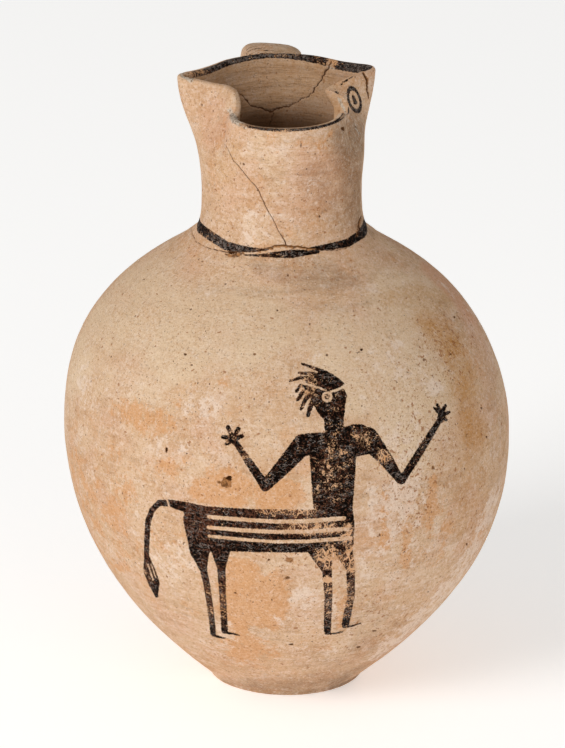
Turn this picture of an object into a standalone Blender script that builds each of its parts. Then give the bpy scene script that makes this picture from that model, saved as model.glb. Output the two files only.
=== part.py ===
# Trefoil-mouthed pottery jug: a thrown body, a pinched mouth and a strap handle, fired as one piece.
# Metres, +Z up. The origin is the middle of the foot's underside, the spout points to -Y, the handle to +Y.
# Heights are stacked from the ground up, so each one can be changed by itself.

import math

import bmesh
import bpy
from mathutils import Vector
from mathutils.geometry import interpolate_bezier

# Foot and thrown body
FOOT_RADIUS = 0.0310
FOOT_HEIGHT = 0.0015
FOOT_CHAMFER = 0.0006
LOWER_BODY_HEIGHT = 0.1011
LOWER_WALL_ANGLE = math.radians(40.7)
BELLY_RADIUS = 0.0878
SHOULDER_HEIGHT = 0.0770
SHOULDER_ANGLE = math.radians(43.0)

# Neck
NECK_ROOT_RADIUS = 0.0400
NECK_ROOT_HEIGHT = 0.0224
WAIST_RADIUS = 0.0313
NECK_HEIGHT = 0.0440
MOUTH_RADIUS = 0.0354

# Fullness of the profile's curves: how far each end's direction carries, as shares of the stretch's height
FOOT_PULL = 0.345
BELLY_PULL_BELOW = 0.478
BELLY_PULL_ABOVE = 0.71
SHOULDER_PULL = 0.16
NECK_ROOT_PULL = 0.37
WAIST_PULL_BELOW = 0.80
WAIST_PULL_ABOVE = 0.30
MOUTH_PULL = 0.30

# Fired clay walls
FLOOR_THICKNESS = 0.0070
BODY_WALL = 0.0055
RIM_WALL = 0.0034
RIM_ROUNDING = 0.0012

# Pinched mouth, all widths and reaches to the middle of the wall
PINCH_DEPTH = 0.0330
LIP_REACH = 0.0342
LIP_LENGTH = 0.0185
LIP_WIDTH = 0.0424
LIP_DROP = 0.0078
LIP_STEP = 0.0075
STEP_BEFORE_FOLD = 0.0030
FOLD_WIDTH = 0.0376
FOLD_SETBACK = 0.0034
FACE_FLARE = 0.0032
FACE_SETBACK = 0.0095
FACE_BOW = 0.0010
LEFT_LOBE_REACH = 0.0393
LEFT_LOBE_ANGLE = math.radians(102.5)
LEFT_LOBE_ROUNDING = math.radians(12.5)
RIGHT_LOBE_REACH = 0.0384
RIGHT_LOBE_ANGLE = math.radians(110.5)
RIGHT_LOBE_ROUNDING = math.radians(10.5)
LOBE_LIFT = 0.0012
LOBE_LIFT_SPREAD = 0.0160

# Strap handle, sprung from the back of the rim and set down on the shoulder
HANDLE_WIDTH = 0.0229
HANDLE_THICKNESS = 0.0086
HANDLE_SQUARENESS = 0.75
HANDLE_SIDE_SHIFT = 0.0014
HANDLE_SINK = 0.0008
HANDLE_RISE_ANGLE = math.radians(24.0)
HANDLE_REACH = 0.0670
HANDLE_BEND_DEPTH = 0.0300
HANDLE_FOOT_DEPTH = 0.0860
HANDLE_FOOT_ANGLE = math.radians(68.0)
HANDLE_RISE_PULL = 0.52
HANDLE_BEND_PULL = 0.48
HANDLE_DROP_PULL = 0.36
HANDLE_TILT = math.radians(5.5)

# Hand-made leans, in +X: the lower belly swells to one side and the neck stands to the other
BELLY_SWAY = 0.0012
NECK_LEAN = 0.0019
NECK_LEAN_RISE = 0.0450

# Mesh fineness
COLUMNS = 80
OUTER_ROWS = (7, 8, 4, 7)
INNER_ROWS = (5, 5, 2, 6)
MEASURING_ROWS = (40, 40, 20, 40)
PLAN_CUTS = 12
PLAN_STEPS = 240
HANDLE_RINGS = 9
HANDLE_SIDES = 20
WELD_DISTANCE = 0.00001
SHARP_ANGLE = math.radians(35.0)

belly_z = FOOT_HEIGHT + LOWER_BODY_HEIGHT
neck_root_z = belly_z + SHOULDER_HEIGHT
waist_z = neck_root_z + NECK_ROOT_HEIGHT
rim_z = waist_z + NECK_HEIGHT
pinch_z = rim_z - PINCH_DEPTH
rim_middle = MOUTH_RADIUS - RIM_WALL / 2.0


def smoothstep(share):
    share = min(max(share, 0.0), 1.0)
    return share * share * (3.0 - 2.0 * share)


# Points of one Bezier stretch in (across, up), both ends included
def curve_points(start, lift, meet, end, cuts):
    points = interpolate_bezier(start.to_3d(), lift.to_3d(), meet.to_3d(), end.to_3d(), cuts + 1)
    return [point.to_2d() for point in points]


# Outer profile as four Bezier stretches in (radius, height), from the foot up to the rim
def profile_stretches():
    foot = Vector((FOOT_RADIUS, FOOT_HEIGHT))
    belly = Vector((BELLY_RADIUS, belly_z))
    root = Vector((NECK_ROOT_RADIUS, neck_root_z))
    waist = Vector((WAIST_RADIUS, waist_z))
    mouth = Vector((MOUTH_RADIUS, rim_z))
    flare = Vector((math.cos(LOWER_WALL_ANGLE), math.sin(LOWER_WALL_ANGLE)))
    slope = Vector((-math.cos(SHOULDER_ANGLE), math.sin(SHOULDER_ANGLE)))
    up = Vector((0.0, 1.0))
    foot_lift = foot + flare * FOOT_PULL * LOWER_BODY_HEIGHT
    belly_meet = belly - up * BELLY_PULL_BELOW * LOWER_BODY_HEIGHT
    belly_lift = belly + up * BELLY_PULL_ABOVE * SHOULDER_HEIGHT
    root_meet = root - slope * SHOULDER_PULL * SHOULDER_HEIGHT
    root_lift = root + slope * NECK_ROOT_PULL * NECK_ROOT_HEIGHT
    waist_meet = waist - up * WAIST_PULL_BELOW * NECK_ROOT_HEIGHT
    waist_lift = waist + up * WAIST_PULL_ABOVE * NECK_HEIGHT
    mouth_meet = mouth - up * MOUTH_PULL * NECK_HEIGHT
    return [
        (foot, foot_lift, belly_meet, belly),
        (belly, belly_lift, root_meet, root),
        (root, root_lift, waist_meet, waist),
        (waist, waist_lift, mouth_meet, mouth),
    ]


def outer_profile(rows):
    points = []
    for (start, lift, meet, end), cuts in zip(profile_stretches(), rows):
        stretch = curve_points(start, lift, meet, end, cuts)
        points += stretch if not points else stretch[1:]
    return points


# The body's wall thins up the neck to the rim's
def wall_at(height):
    taper = smoothstep((height - neck_root_z) / (rim_z - neck_root_z))
    return BODY_WALL + (RIM_WALL - BODY_WALL) * taper


# The outer profile moved inwards, square to the wall, by a share of the wall
def inset_profile(rows, share):
    points = outer_profile(rows)
    inset = []
    for i, point in enumerate(points):
        along = points[min(i + 1, len(points) - 1)] - points[max(i - 1, 0)]
        outward = Vector((along.y, -along.x)).normalized()
        inset.append(point - outward * wall_at(point.y) * share)
    inset[-1] = Vector((MOUTH_RADIUS - RIM_WALL * share, rim_z))
    return inset


# Points of a rising profile that stay above a floor, with the floor's edge first
def above_floor(points, floor):
    for below, above in zip(points, points[1:]):
        if below.y <= floor < above.y:
            share = (floor - below.y) / (above.y - below.y)
            kept = [point for point in points if point.y > floor + WELD_DISTANCE]
            return [below.lerp(above, share)] + kept
    return points


measured_profile = outer_profile(MEASURING_ROWS)


def outer_radius(height):
    for low, high in zip(measured_profile, measured_profile[1:]):
        if low.y <= height <= high.y:
            return low.lerp(high, (height - low.y) / (high.y - low.y)).x
    return MOUTH_RADIUS if height > rim_z else FOOT_RADIUS


def middle_radius(height):
    return outer_radius(height) - wall_at(height) / 2.0


# One side of the mouth's plan at the rim, in the middle of the wall: half of the oval lip in front,
# the fold, a face running out to the lobe, and the thrown circle behind
def mouth_side(side, lobe_reach, lobe_angle, lobe_rounding):
    lip_centre = LIP_LENGTH - LIP_REACH
    points = []
    for third in (1, 2, 3):
        angle = math.pi / 2.0 * third / 3.0
        points.append((LIP_WIDTH / 2.0 * math.sin(angle), lip_centre - LIP_LENGTH * math.cos(angle)))
    fold_x = FOLD_WIDTH / 2.0
    fold_y = lip_centre + FOLD_SETBACK
    face_x = fold_x + FACE_FLARE
    face_y = fold_y + FACE_SETBACK
    lobe_x = lobe_reach * math.sin(lobe_angle)
    lobe_y = -lobe_reach * math.cos(lobe_angle)
    points.append((fold_x, fold_y))
    points.append((fold_x + FACE_BOW, (fold_y + face_y) / 2.0))
    points.append((face_x, face_y))
    points.append(((face_x + lobe_x) / 2.0, (face_y + lobe_y) / 2.0))
    points.append((lobe_x, lobe_y))
    back_angle = lobe_angle + lobe_rounding
    heel = (lobe_reach + rim_middle) / 2.0
    points.append((heel * math.sin(back_angle), -heel * math.cos(back_angle)))
    for quarter in (1, 2, 3):
        angle = back_angle + (math.pi - back_angle) * quarter / 4.0
        points.append((rim_middle * math.sin(angle), -rim_middle * math.cos(angle)))
    return [Vector((side * x, y)) for x, y in points]


# The whole plan as a closed smooth line, cut into equal steps that start at the lip's tip
def mouth_plan():
    right = mouth_side(1.0, RIGHT_LOBE_REACH, RIGHT_LOBE_ANGLE, RIGHT_LOBE_ROUNDING)
    left = mouth_side(-1.0, LEFT_LOBE_REACH, LEFT_LOBE_ANGLE, LEFT_LOBE_ROUNDING)
    points = [Vector((0.0, -LIP_REACH))] + right + [Vector((0.0, rim_middle))] + left[::-1]
    count = len(points)
    tangents = []
    for i, point in enumerate(points):
        arriving = (point - points[i - 1]).normalized()
        leaving = (points[(i + 1) % count] - point).normalized()
        tangents.append((arriving + leaving).normalized())
    line = []
    for i, point in enumerate(points):
        after = points[(i + 1) % count]
        pull = (after - point).length / 3.0
        lift = point + tangents[i] * pull
        meet = after - tangents[(i + 1) % count] * pull
        line += curve_points(point, lift, meet, after, PLAN_CUTS)[:-1]
    line.append(line[0])
    walked = [0.0]
    for before, after in zip(line, line[1:]):
        walked.append(walked[-1] + (after - before).length)
    plan = []
    k = 0
    for step in range(PLAN_STEPS):
        target = walked[-1] * step / PLAN_STEPS
        while walked[k + 1] < target:
            k += 1
        share = (target - walked[k]) / (walked[k + 1] - walked[k])
        plan.append(line[k].lerp(line[k + 1], share))
    return plan, walked[-1]


plan_points, plan_length = mouth_plan()


# Middle of the wall and the way out, at a turn round the mouth from the lip's tip
def plan_at(turn):
    place = (turn % 1.0) * PLAN_STEPS
    k = int(place)
    here = plan_points[k % PLAN_STEPS]
    after = plan_points[(k + 1) % PLAN_STEPS]
    along = plan_points[(k + 2) % PLAN_STEPS] - plan_points[k - 1]
    return here.lerp(after, place - k), Vector((along.y, -along.x)).normalized()


# Distance along the rim from the lip's tip to the plan's nearest point to a place
def way_to(place):
    distances = [(point - place).length for point in plan_points]
    return distances.index(min(distances)) / PLAN_STEPS * plan_length


fold_way = way_to(Vector((FOLD_WIDTH / 2.0, FOLD_SETBACK - LIP_REACH + LIP_LENGTH)))
lobe_ways = [
    way_to(Vector((reach * side * math.sin(angle), -reach * math.cos(angle))))
    for side, reach, angle in (
        (1.0, RIGHT_LOBE_REACH, RIGHT_LOBE_ANGLE),
        (-1.0, LEFT_LOBE_REACH, LEFT_LOBE_ANGLE),
    )
]


# Height of the rim against the thrown rim: down along the lip, up at the tips of the lobes
def rim_rise(turn):
    way = (turn % 1.0) * plan_length
    from_tip = min(way, plan_length - way)
    dropped = 1.0 - smoothstep((from_tip - fold_way + STEP_BEFORE_FOLD) / LIP_STEP)
    lifted = sum(1.0 - smoothstep(abs(way - lobe) / LOBE_LIFT_SPREAD) for lobe in lobe_ways)
    return LOBE_LIFT * lifted - LIP_DROP * dropped


# The potter's pinch: moves a thrown point of the upper neck to its place in the trefoil
def pinched(point):
    rise = smoothstep((point.z - pinch_z) / PINCH_DEPTH)
    if rise == 0.0:
        return point.copy()
    turn = math.atan2(point.x, -point.y) / math.tau
    offset = math.hypot(point.x, point.y) - middle_radius(point.z)
    thrown_out = Vector((math.sin(turn * math.tau), -math.cos(turn * math.tau)))
    plan_middle, plan_out = plan_at(turn)
    middle = (thrown_out * middle_radius(point.z)).lerp(plan_middle, rise)
    outward = thrown_out.lerp(plan_out, rise).normalized()
    place = middle + outward * offset
    return Vector((place.x, place.y, point.z + rim_rise(turn) * rise))


def leaned(point):
    sway = BELLY_SWAY * math.sin(math.pi * min(max(point.z / belly_z, 0.0), 1.0))
    lean = NECK_LEAN * smoothstep((point.z - belly_z) / NECK_LEAN_RISE)
    return point + Vector((sway - lean, 0.0, 0.0))


def link(obj, collection):
    collection.objects.link(obj)
    return obj


def as_guide(obj):
    obj.hide_render = True
    obj.display_type = "WIRE"
    return obj


def evaluated_mesh(obj):
    bpy.context.view_layer.update()
    depsgraph = bpy.context.evaluated_depsgraph_get()
    return bpy.data.meshes.new_from_object(obj.evaluated_get(depsgraph))


def weld(mesh):
    bm = bmesh.new()
    bm.from_mesh(mesh)
    bmesh.ops.remove_doubles(bm, verts=bm.verts, dist=WELD_DISTANCE)
    bm.to_mesh(mesh)
    bm.free()


# A solid thrown about +Z from a profile, then pinched and leaned
def thrown(name, profile, collection):
    edges = [(i, i + 1) for i in range(len(profile) - 1)]
    mesh = bpy.data.meshes.new(name)
    mesh.from_pydata([(point.x, 0.0, point.y) for point in profile], edges, [])
    wheel = link(bpy.data.objects.new(name, mesh), collection)
    screw = wheel.modifiers.new("throw", "SCREW")
    screw.steps = COLUMNS
    screw.render_steps = COLUMNS
    screw.use_merge_vertices = True
    screw.merge_threshold = WELD_DISTANCE
    turned = evaluated_mesh(wheel)
    wheel.modifiers.clear()
    wheel.data = turned
    weld(turned)
    for vertex in turned.vertices:
        vertex.co = leaned(pinched(vertex.co))
    return wheel


# The rim's rounded top, from its inner side over to its outer side
def rim_top():
    half = RIM_WALL / 2.0
    corner = math.pi / 4.0
    fall = RIM_ROUNDING * (1.0 - math.sin(corner))
    inset = half - RIM_ROUNDING * (1.0 - math.cos(corner))
    flat = half - RIM_ROUNDING
    return [
        Vector((rim_middle - inset, rim_z - fall)),
        Vector((rim_middle - flat, rim_z)),
        Vector((rim_middle + flat, rim_z)),
        Vector((rim_middle + inset, rim_z - fall)),
    ]


# The whole wall's profile: up the inside, over the rim, down the outside and under the foot
def hollow_profile():
    inner = above_floor(inset_profile(INNER_ROWS, 1.0), FLOOR_THICKNESS)
    outer = outer_profile(OUTER_ROWS)
    inner[-1].y = rim_z - RIM_ROUNDING
    outer[-1].y = rim_z - RIM_ROUNDING
    axis_floor = Vector((0.0, FLOOR_THICKNESS))
    foot_edge = Vector((FOOT_RADIUS - FOOT_CHAMFER, 0.0))
    return [axis_floor] + inner + rim_top() + outer[::-1] + [foot_edge, Vector((0.0, 0.0))]


# The space inside the middle of the wall, which trims whatever reaches in from outside
def core_profile():
    floor = FLOOR_THICKNESS / 2.0
    middle = above_floor(inset_profile(OUTER_ROWS, 0.5), floor)
    top = Vector((middle[-1].x, rim_z + HANDLE_THICKNESS))
    return [Vector((0.0, top.y)), top] + middle[::-1] + [Vector((0.0, floor))]


# The strap's section: a flattened round, squared a little
def handle_section(collection):
    curve = bpy.data.curves.new("handle_section", "CURVE")
    curve.dimensions = "2D"
    spline = curve.splines.new("POLY")
    spline.points.add(HANDLE_SIDES - 1)
    spline.use_cyclic_u = True
    for i, point in enumerate(spline.points):
        angle = -math.tau * i / HANDLE_SIDES
        across = math.copysign(abs(math.cos(angle)) ** HANDLE_SQUARENESS, math.cos(angle))
        through = math.copysign(abs(math.sin(angle)) ** HANDLE_SQUARENESS, math.sin(angle))
        point.co = (HANDLE_WIDTH / 2.0 * across, HANDLE_THICKNESS / 2.0 * through, 0.0, 1.0)
    return as_guide(link(bpy.data.objects.new("handle_section", curve), collection))


# Three stations of the strap's middle line: in the rim, at its furthest reach, and in the shoulder.
# Each has its place, its direction, its curve handles' lengths before and after, and its tilt.
def handle_stations():
    inside_rim = 2.0 * RIM_WALL
    rim_y = MOUTH_RADIUS - inside_rim
    rim_height = rim_z - HANDLE_THICKNESS / 2.0 - HANDLE_SINK - inside_rim * math.tan(HANDLE_RISE_ANGLE)
    foot_z = rim_z - HANDLE_FOOT_DEPTH
    foot_y = outer_radius(foot_z) - 2.0 * BODY_WALL
    rim_end = Vector((HANDLE_SIDE_SHIFT, rim_y, rim_height))
    bend = Vector((HANDLE_SIDE_SHIFT, HANDLE_REACH, rim_z - HANDLE_BEND_DEPTH))
    foot_end = Vector((HANDLE_SIDE_SHIFT, foot_y, foot_z))
    rising = Vector((0.0, math.cos(HANDLE_RISE_ANGLE), math.sin(HANDLE_RISE_ANGLE)))
    falling = Vector((0.0, 0.0, -1.0))
    landing = Vector((0.0, -math.cos(HANDLE_FOOT_ANGLE), -math.sin(HANDLE_FOOT_ANGLE)))
    upper = (bend - rim_end).length
    lower = (foot_end - bend).length * HANDLE_DROP_PULL
    return [
        (rim_end, rising, upper * HANDLE_RISE_PULL, upper * HANDLE_RISE_PULL, HANDLE_TILT),
        (bend, falling, upper * HANDLE_BEND_PULL, lower, HANDLE_TILT),
        (foot_end, landing, lower, lower, 0.0),
    ]


def strap_handle(core, collection):
    section = handle_section(collection)
    curve = bpy.data.curves.new("handle", "CURVE")
    curve.dimensions = "3D"
    curve.resolution_u = HANDLE_RINGS
    curve.bevel_mode = "OBJECT"
    curve.bevel_object = section
    curve.use_fill_caps = True
    stations = handle_stations()
    spline = curve.splines.new("BEZIER")
    spline.bezier_points.add(len(stations) - 1)
    for point, (place, direction, before, after, tilt) in zip(spline.bezier_points, stations):
        point.co = place
        point.handle_left_type = "FREE"
        point.handle_right_type = "FREE"
        point.handle_left = place - direction * before
        point.handle_right = place + direction * after
        point.tilt = tilt
    strip = link(bpy.data.objects.new("handle_line", curve), collection)
    mesh = evaluated_mesh(strip)
    weld(mesh)
    handle = as_guide(link(bpy.data.objects.new("handle", mesh), collection))
    handle.matrix_world = strip.matrix_world
    for vertex in mesh.vertices:
        vertex.co = leaned(vertex.co)
    bpy.data.objects.remove(strip)
    bpy.data.objects.remove(section)
    trim = handle.modifiers.new("trim_inside", "BOOLEAN")
    trim.operation = "DIFFERENCE"
    trim.solver = "EXACT"
    trim.object = core
    return handle


def fired_clay():
    material = bpy.data.materials.new("fired_clay")
    material.use_nodes = True
    shader = material.node_tree.nodes["Principled BSDF"]
    shader.inputs["Base Color"].default_value = (0.62, 0.41, 0.25, 1.0)
    shader.inputs["Roughness"].default_value = 0.85
    shader.inputs["Metallic"].default_value = 0.0
    return material


def main():
    for obj in list(bpy.data.objects):
        bpy.data.objects.remove(obj)
    parts = bpy.data.collections.new("pottery_jug")
    cutters = bpy.data.collections.new("guides_and_cutters")
    bpy.context.scene.collection.children.link(parts)
    bpy.context.scene.collection.children.link(cutters)
    jug = thrown("jug", hollow_profile(), parts)
    core = as_guide(thrown("core", core_profile(), cutters))
    handle = strap_handle(core, cutters)
    jug.data.materials.append(fired_clay())
    join = jug.modifiers.new("join_handle", "BOOLEAN")
    join.operation = "UNION"
    join.solver = "EXACT"
    join.object = handle
    jug.data.shade_smooth()
    jug.data.set_sharp_from_angle(angle=SHARP_ANGLE)


main()
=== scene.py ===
# Worn painted jug: thrown clay, a strap handle, brush-painted figure, cracks and repairs
import math

import bmesh
import bpy
import numpy as np
from mathutils import Matrix, Vector
from mathutils.bvhtree import BVHTree


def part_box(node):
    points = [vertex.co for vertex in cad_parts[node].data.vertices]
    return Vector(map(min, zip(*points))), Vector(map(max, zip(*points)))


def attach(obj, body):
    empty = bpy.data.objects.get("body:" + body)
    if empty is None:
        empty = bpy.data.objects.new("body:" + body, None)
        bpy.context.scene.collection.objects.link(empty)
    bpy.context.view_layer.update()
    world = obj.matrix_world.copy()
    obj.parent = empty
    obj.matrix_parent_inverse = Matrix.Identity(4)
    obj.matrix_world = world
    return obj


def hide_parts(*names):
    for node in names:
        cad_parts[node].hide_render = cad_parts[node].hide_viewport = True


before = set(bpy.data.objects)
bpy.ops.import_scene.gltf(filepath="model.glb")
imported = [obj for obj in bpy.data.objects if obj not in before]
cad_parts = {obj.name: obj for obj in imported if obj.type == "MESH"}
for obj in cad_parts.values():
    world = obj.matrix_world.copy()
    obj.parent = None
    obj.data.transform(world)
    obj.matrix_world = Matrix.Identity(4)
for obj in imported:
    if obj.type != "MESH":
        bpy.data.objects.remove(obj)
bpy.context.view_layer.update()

jugLow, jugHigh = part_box("jug")
millimetre = 0.001
bellyRadius = (jugHigh.x - jugLow.x) / 2

# The wall as it was thrown, in metres, and the trefoil it was pinched to
wall = {
    "footRadius": 0.0310, "footHeight": 0.0015, "footChamfer": 0.0006,
    "lowerHeight": 0.1011, "lowerAngle": math.radians(40.7), "bellyRadius": bellyRadius,
    "shoulderHeight": 0.0770, "shoulderAngle": math.radians(43.0),
    "rootRadius": 0.0400, "rootHeight": 0.0224, "waistRadius": 0.0313,
    "neckHeight": 0.0440, "mouthRadius": 0.0354,
    "footPull": 0.345, "bellyPullBelow": 0.478, "bellyPullAbove": 0.71, "shoulderPull": 0.16,
    "rootPull": 0.37, "waistPullBelow": 0.80, "waistPullAbove": 0.30, "mouthPull": 0.30,
    "floor": 0.0070, "bodyWall": 0.0055, "rimWall": 0.0034, "rimRounding": 0.0013,
    "bellySway": 0.0012, "neckLean": 0.0019, "leanRise": 0.0450,
    "stretchCuts": 120, "floorSteps": 30, "cornerSteps": 12,
}
mouth = {
    "pinchDepth": 0.0330, "lipReach": 0.0342, "lipLength": 0.0185, "lipWidth": 0.0424,
    "lipDrop": 0.0078, "lipStep": 0.0075, "stepBeforeFold": 0.0030,
    "foldWidth": 0.0376, "foldSetback": 0.0034,
    "faceFlare": 0.0032, "faceSetback": 0.0095, "faceBow": 0.0010,
    "right": {"reach": 0.0384, "angle": math.radians(110.5), "rounding": math.radians(10.5)},
    "left": {"reach": 0.0393, "angle": math.radians(102.5), "rounding": math.radians(12.5)},
    "lobeLift": 0.0012, "liftSpread": 0.0160, "backLift": 0.0004, "backSpread": 0.0400,
    "spanCuts": 24, "planSteps": 960, "outwardReach": 3,
    # where a thumb pressed the rim: way from the lip, spread, depth below the rim, push to the right, drop
    "thumbs": [
        (0.0365, 0.0078, 0.0110, 0.0062, 0.0030), (0.0440, 0.0112, 0.0140, -0.0033, 0.0021),
        (0.0680, 0.0210, 0.0200, 0.0005, 0.0009),
    ],
}
bellyZ = wall["footHeight"] + wall["lowerHeight"]
rootZ = bellyZ + wall["shoulderHeight"]
waistZ = rootZ + wall["rootHeight"]
rimZ = waistZ + wall["neckHeight"]
pinchZ = rimZ - mouth["pinchDepth"]
rimMiddle = wall["mouthRadius"] - wall["rimWall"] / 2
farAway = 99.0  # millimetres, where no mark is near


def smooth(share):
    share = np.clip(share, 0, 1)
    return share * share * (3 - 2 * share)


def bezier(start, lift, meet, end, cuts):
    t = np.linspace(0, 1, cuts + 1)[:, None]
    start, lift, meet, end = (np.array(p) for p in (start, lift, meet, end))
    return (1 - t) ** 3 * start + 3 * (1 - t) ** 2 * t * lift + 3 * (1 - t) * t * t * meet + t ** 3 * end


def unit(v):
    return v / np.linalg.norm(v)


def fromLip(radius, angle):  # a place round the middle, at this angle from the lip
    return radius * math.sin(angle), -radius * math.cos(angle)


def walkedAlong(line):
    return np.concatenate([[0], np.cumsum(np.linalg.norm(np.diff(line, axis=0), axis=1))])


def outwardOf(along):
    return np.stack([along[:, 1], -along[:, 0]], 1) / np.linalg.norm(along, axis=1)[:, None]


def outerLine():  # (radius, height) from the foot up to the rim
    foot = np.array((wall["footRadius"], wall["footHeight"]))
    belly = np.array((wall["bellyRadius"], bellyZ))
    root = np.array((wall["rootRadius"], rootZ))
    waist = np.array((wall["waistRadius"], waistZ))
    rim = np.array((wall["mouthRadius"], rimZ))
    up = np.array((0, 1))
    flare = np.array((math.cos(wall["lowerAngle"]), math.sin(wall["lowerAngle"])))
    slope = np.array((-math.cos(wall["shoulderAngle"]), math.sin(wall["shoulderAngle"])))
    stretches = [
        (foot, flare, "footPull", belly, up, "bellyPullBelow", "lowerHeight"),
        (belly, up, "bellyPullAbove", root, slope, "shoulderPull", "shoulderHeight"),
        (root, slope, "rootPull", waist, up, "waistPullBelow", "rootHeight"),
        (waist, up, "waistPullAbove", rim, up, "mouthPull", "neckHeight"),
    ]
    line = []
    for start, leaving, pullAfter, end, arriving, pullBefore, height in stretches:
        lift = start + leaving * wall[pullAfter] * wall[height]
        meet = end - arriving * wall[pullBefore] * wall[height]
        line.append(bezier(start, lift, meet, end, wall["stretchCuts"]))
    return np.vstack([line[0]] + [stretch[1:] for stretch in line[1:]])


outer = outerLine()


def wallAt(z):
    return wall["bodyWall"] + (wall["rimWall"] - wall["bodyWall"]) * smooth((z - rootZ) / (rimZ - rootZ))


def outerRadiusAt(z):
    return np.interp(z, outer[:, 1], outer[:, 0])


def middleRadiusAt(z):
    return outerRadiusAt(z) - wallAt(z) / 2


def leanAt(z):
    return wall["neckLean"] * smooth((z - bellyZ) / wall["leanRise"])


# Section of the whole wall: over the floor, up the inside, over the rim, down the outside, under the foot
def wallSection():
    inner = outer - outwardOf(np.gradient(outer, axis=0)) * wallAt(outer[:, 1])[:, None]
    rounding = wall["rimRounding"]
    top = rimZ - rounding
    half = wall["rimWall"] / 2
    inner = inner[(inner[:, 1] > wall["floor"]) & (inner[:, 1] < top)]
    steps = wall["floorSteps"]
    floor = np.stack([np.linspace(0, inner[0, 0], steps), np.full(steps, wall["floor"])], 1)
    turn = np.linspace(0, math.pi / 2, wall["cornerSteps"])
    inward, upward = rounding * (1 - np.cos(turn)), top + rounding * np.sin(turn)
    inCorner = np.stack([rimMiddle - half + inward, upward], 1)
    outCorner = np.stack([rimMiddle + half - inward, upward], 1)[::-1]
    down = outer[outer[:, 1] < top][::-1]
    foot = np.array([(wall["footRadius"] - wall["footChamfer"], 0.0)])
    under = np.stack([np.linspace(foot[0, 0], 0, steps)[1:], np.zeros(steps - 1)], 1)
    section = np.vstack([floor, inner, inCorner, outCorner, down, foot, under])
    walked = walkedAlong(section)
    rimWay = walked[len(floor) + len(inner) + len(turn) - 1] + (half - rounding)
    return section, walked, rimWay


section, sectionWay, rimWay = wallSection()
underWay = sectionWay[-wall["floorSteps"]]


def mouthSide(side, lobe):
    centre, half = mouth["lipLength"] - mouth["lipReach"], mouth["lipWidth"] / 2
    points = []
    for third in (1, 2, 3):
        angle = math.pi / 2 * third / 3
        points.append((half * math.sin(angle), centre - mouth["lipLength"] * math.cos(angle)))
    foldX, foldY = mouth["foldWidth"] / 2, centre + mouth["foldSetback"]
    faceX, faceY = foldX + mouth["faceFlare"], foldY + mouth["faceSetback"]
    lobeX, lobeY = fromLip(lobe["reach"], lobe["angle"])
    points += [(foldX, foldY), (foldX + mouth["faceBow"], (foldY + faceY) / 2), (faceX, faceY)]
    points += [((faceX + lobeX) / 2, (faceY + lobeY) / 2), (lobeX, lobeY)]
    backAngle = lobe["angle"] + lobe["rounding"]
    points.append(fromLip((lobe["reach"] + rimMiddle) / 2, backAngle))
    for quarter in (1, 2, 3):
        points.append(fromLip(rimMiddle, backAngle + (math.pi - backAngle) * quarter / 4))
    return [np.array((side * x, y)) for x, y in points]


def mouthPlan():
    points = [np.array((0, -mouth["lipReach"]))] + mouthSide(1, mouth["right"])
    points += [np.array((0, rimMiddle))] + mouthSide(-1, mouth["left"])[::-1]
    befores, afters = points[-1:] + points[:-1], points[1:] + points[:1]
    ways = [unit(unit(here - before) + unit(after - here))
            for before, here, after in zip(befores, points, afters)]
    line = []
    for here, after, leaving, arriving in zip(points, afters, ways, ways[1:] + ways[:1]):
        pull = np.linalg.norm(after - here) / 3
        span = bezier(here, here + leaving * pull, after - arriving * pull, after, mouth["spanCuts"])
        line.append(span[:-1])
    line = np.vstack(line + [points[0][None]])
    way = walkedAlong(line)
    steps = np.arange(mouth["planSteps"]) / mouth["planSteps"]
    plan = np.stack([np.interp(steps * way[-1], way, line[:, k]) for k in (0, 1)], 1)
    along = np.roll(plan, -mouth["outwardReach"], 0) - np.roll(plan, mouth["outwardReach"], 0)
    return plan, outwardOf(along), way[-1]


plan, planOut, planLength = mouthPlan()
planTurn = np.arange(mouth["planSteps"]) / mouth["planSteps"]


def wayTo(x, y):  # distance along the rim from the lip's tip
    return np.argmin(np.hypot(plan[:, 0] - x, plan[:, 1] - y)) / mouth["planSteps"] * planLength


foldWay = wayTo(mouth["foldWidth"] / 2, mouth["foldSetback"] - mouth["lipReach"] + mouth["lipLength"])
lobeWays = [wayTo(*fromLip(mouth["right"]["reach"], mouth["right"]["angle"])),
            wayTo(*fromLip(mouth["left"]["reach"], -mouth["left"]["angle"]))]


def rimRise(turn):
    way = turn * planLength
    fromTip = np.minimum(way, planLength - way)
    dropped = 1 - smooth((fromTip - foldWay + mouth["stepBeforeFold"]) / mouth["lipStep"])
    lifted = sum(1 - smooth(np.abs(way - lobe) / mouth["liftSpread"]) for lobe in lobeWays)
    back = 1 - smooth((planLength / 2 - fromTip) / mouth["backSpread"])
    return mouth["lobeLift"] * lifted + mouth["backLift"] * back - mouth["lipDrop"] * dropped


def atTurn(turn, values):
    return np.stack([np.interp(turn, planTurn, values[:, k], period=1) for k in (0, 1)], 1)


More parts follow.
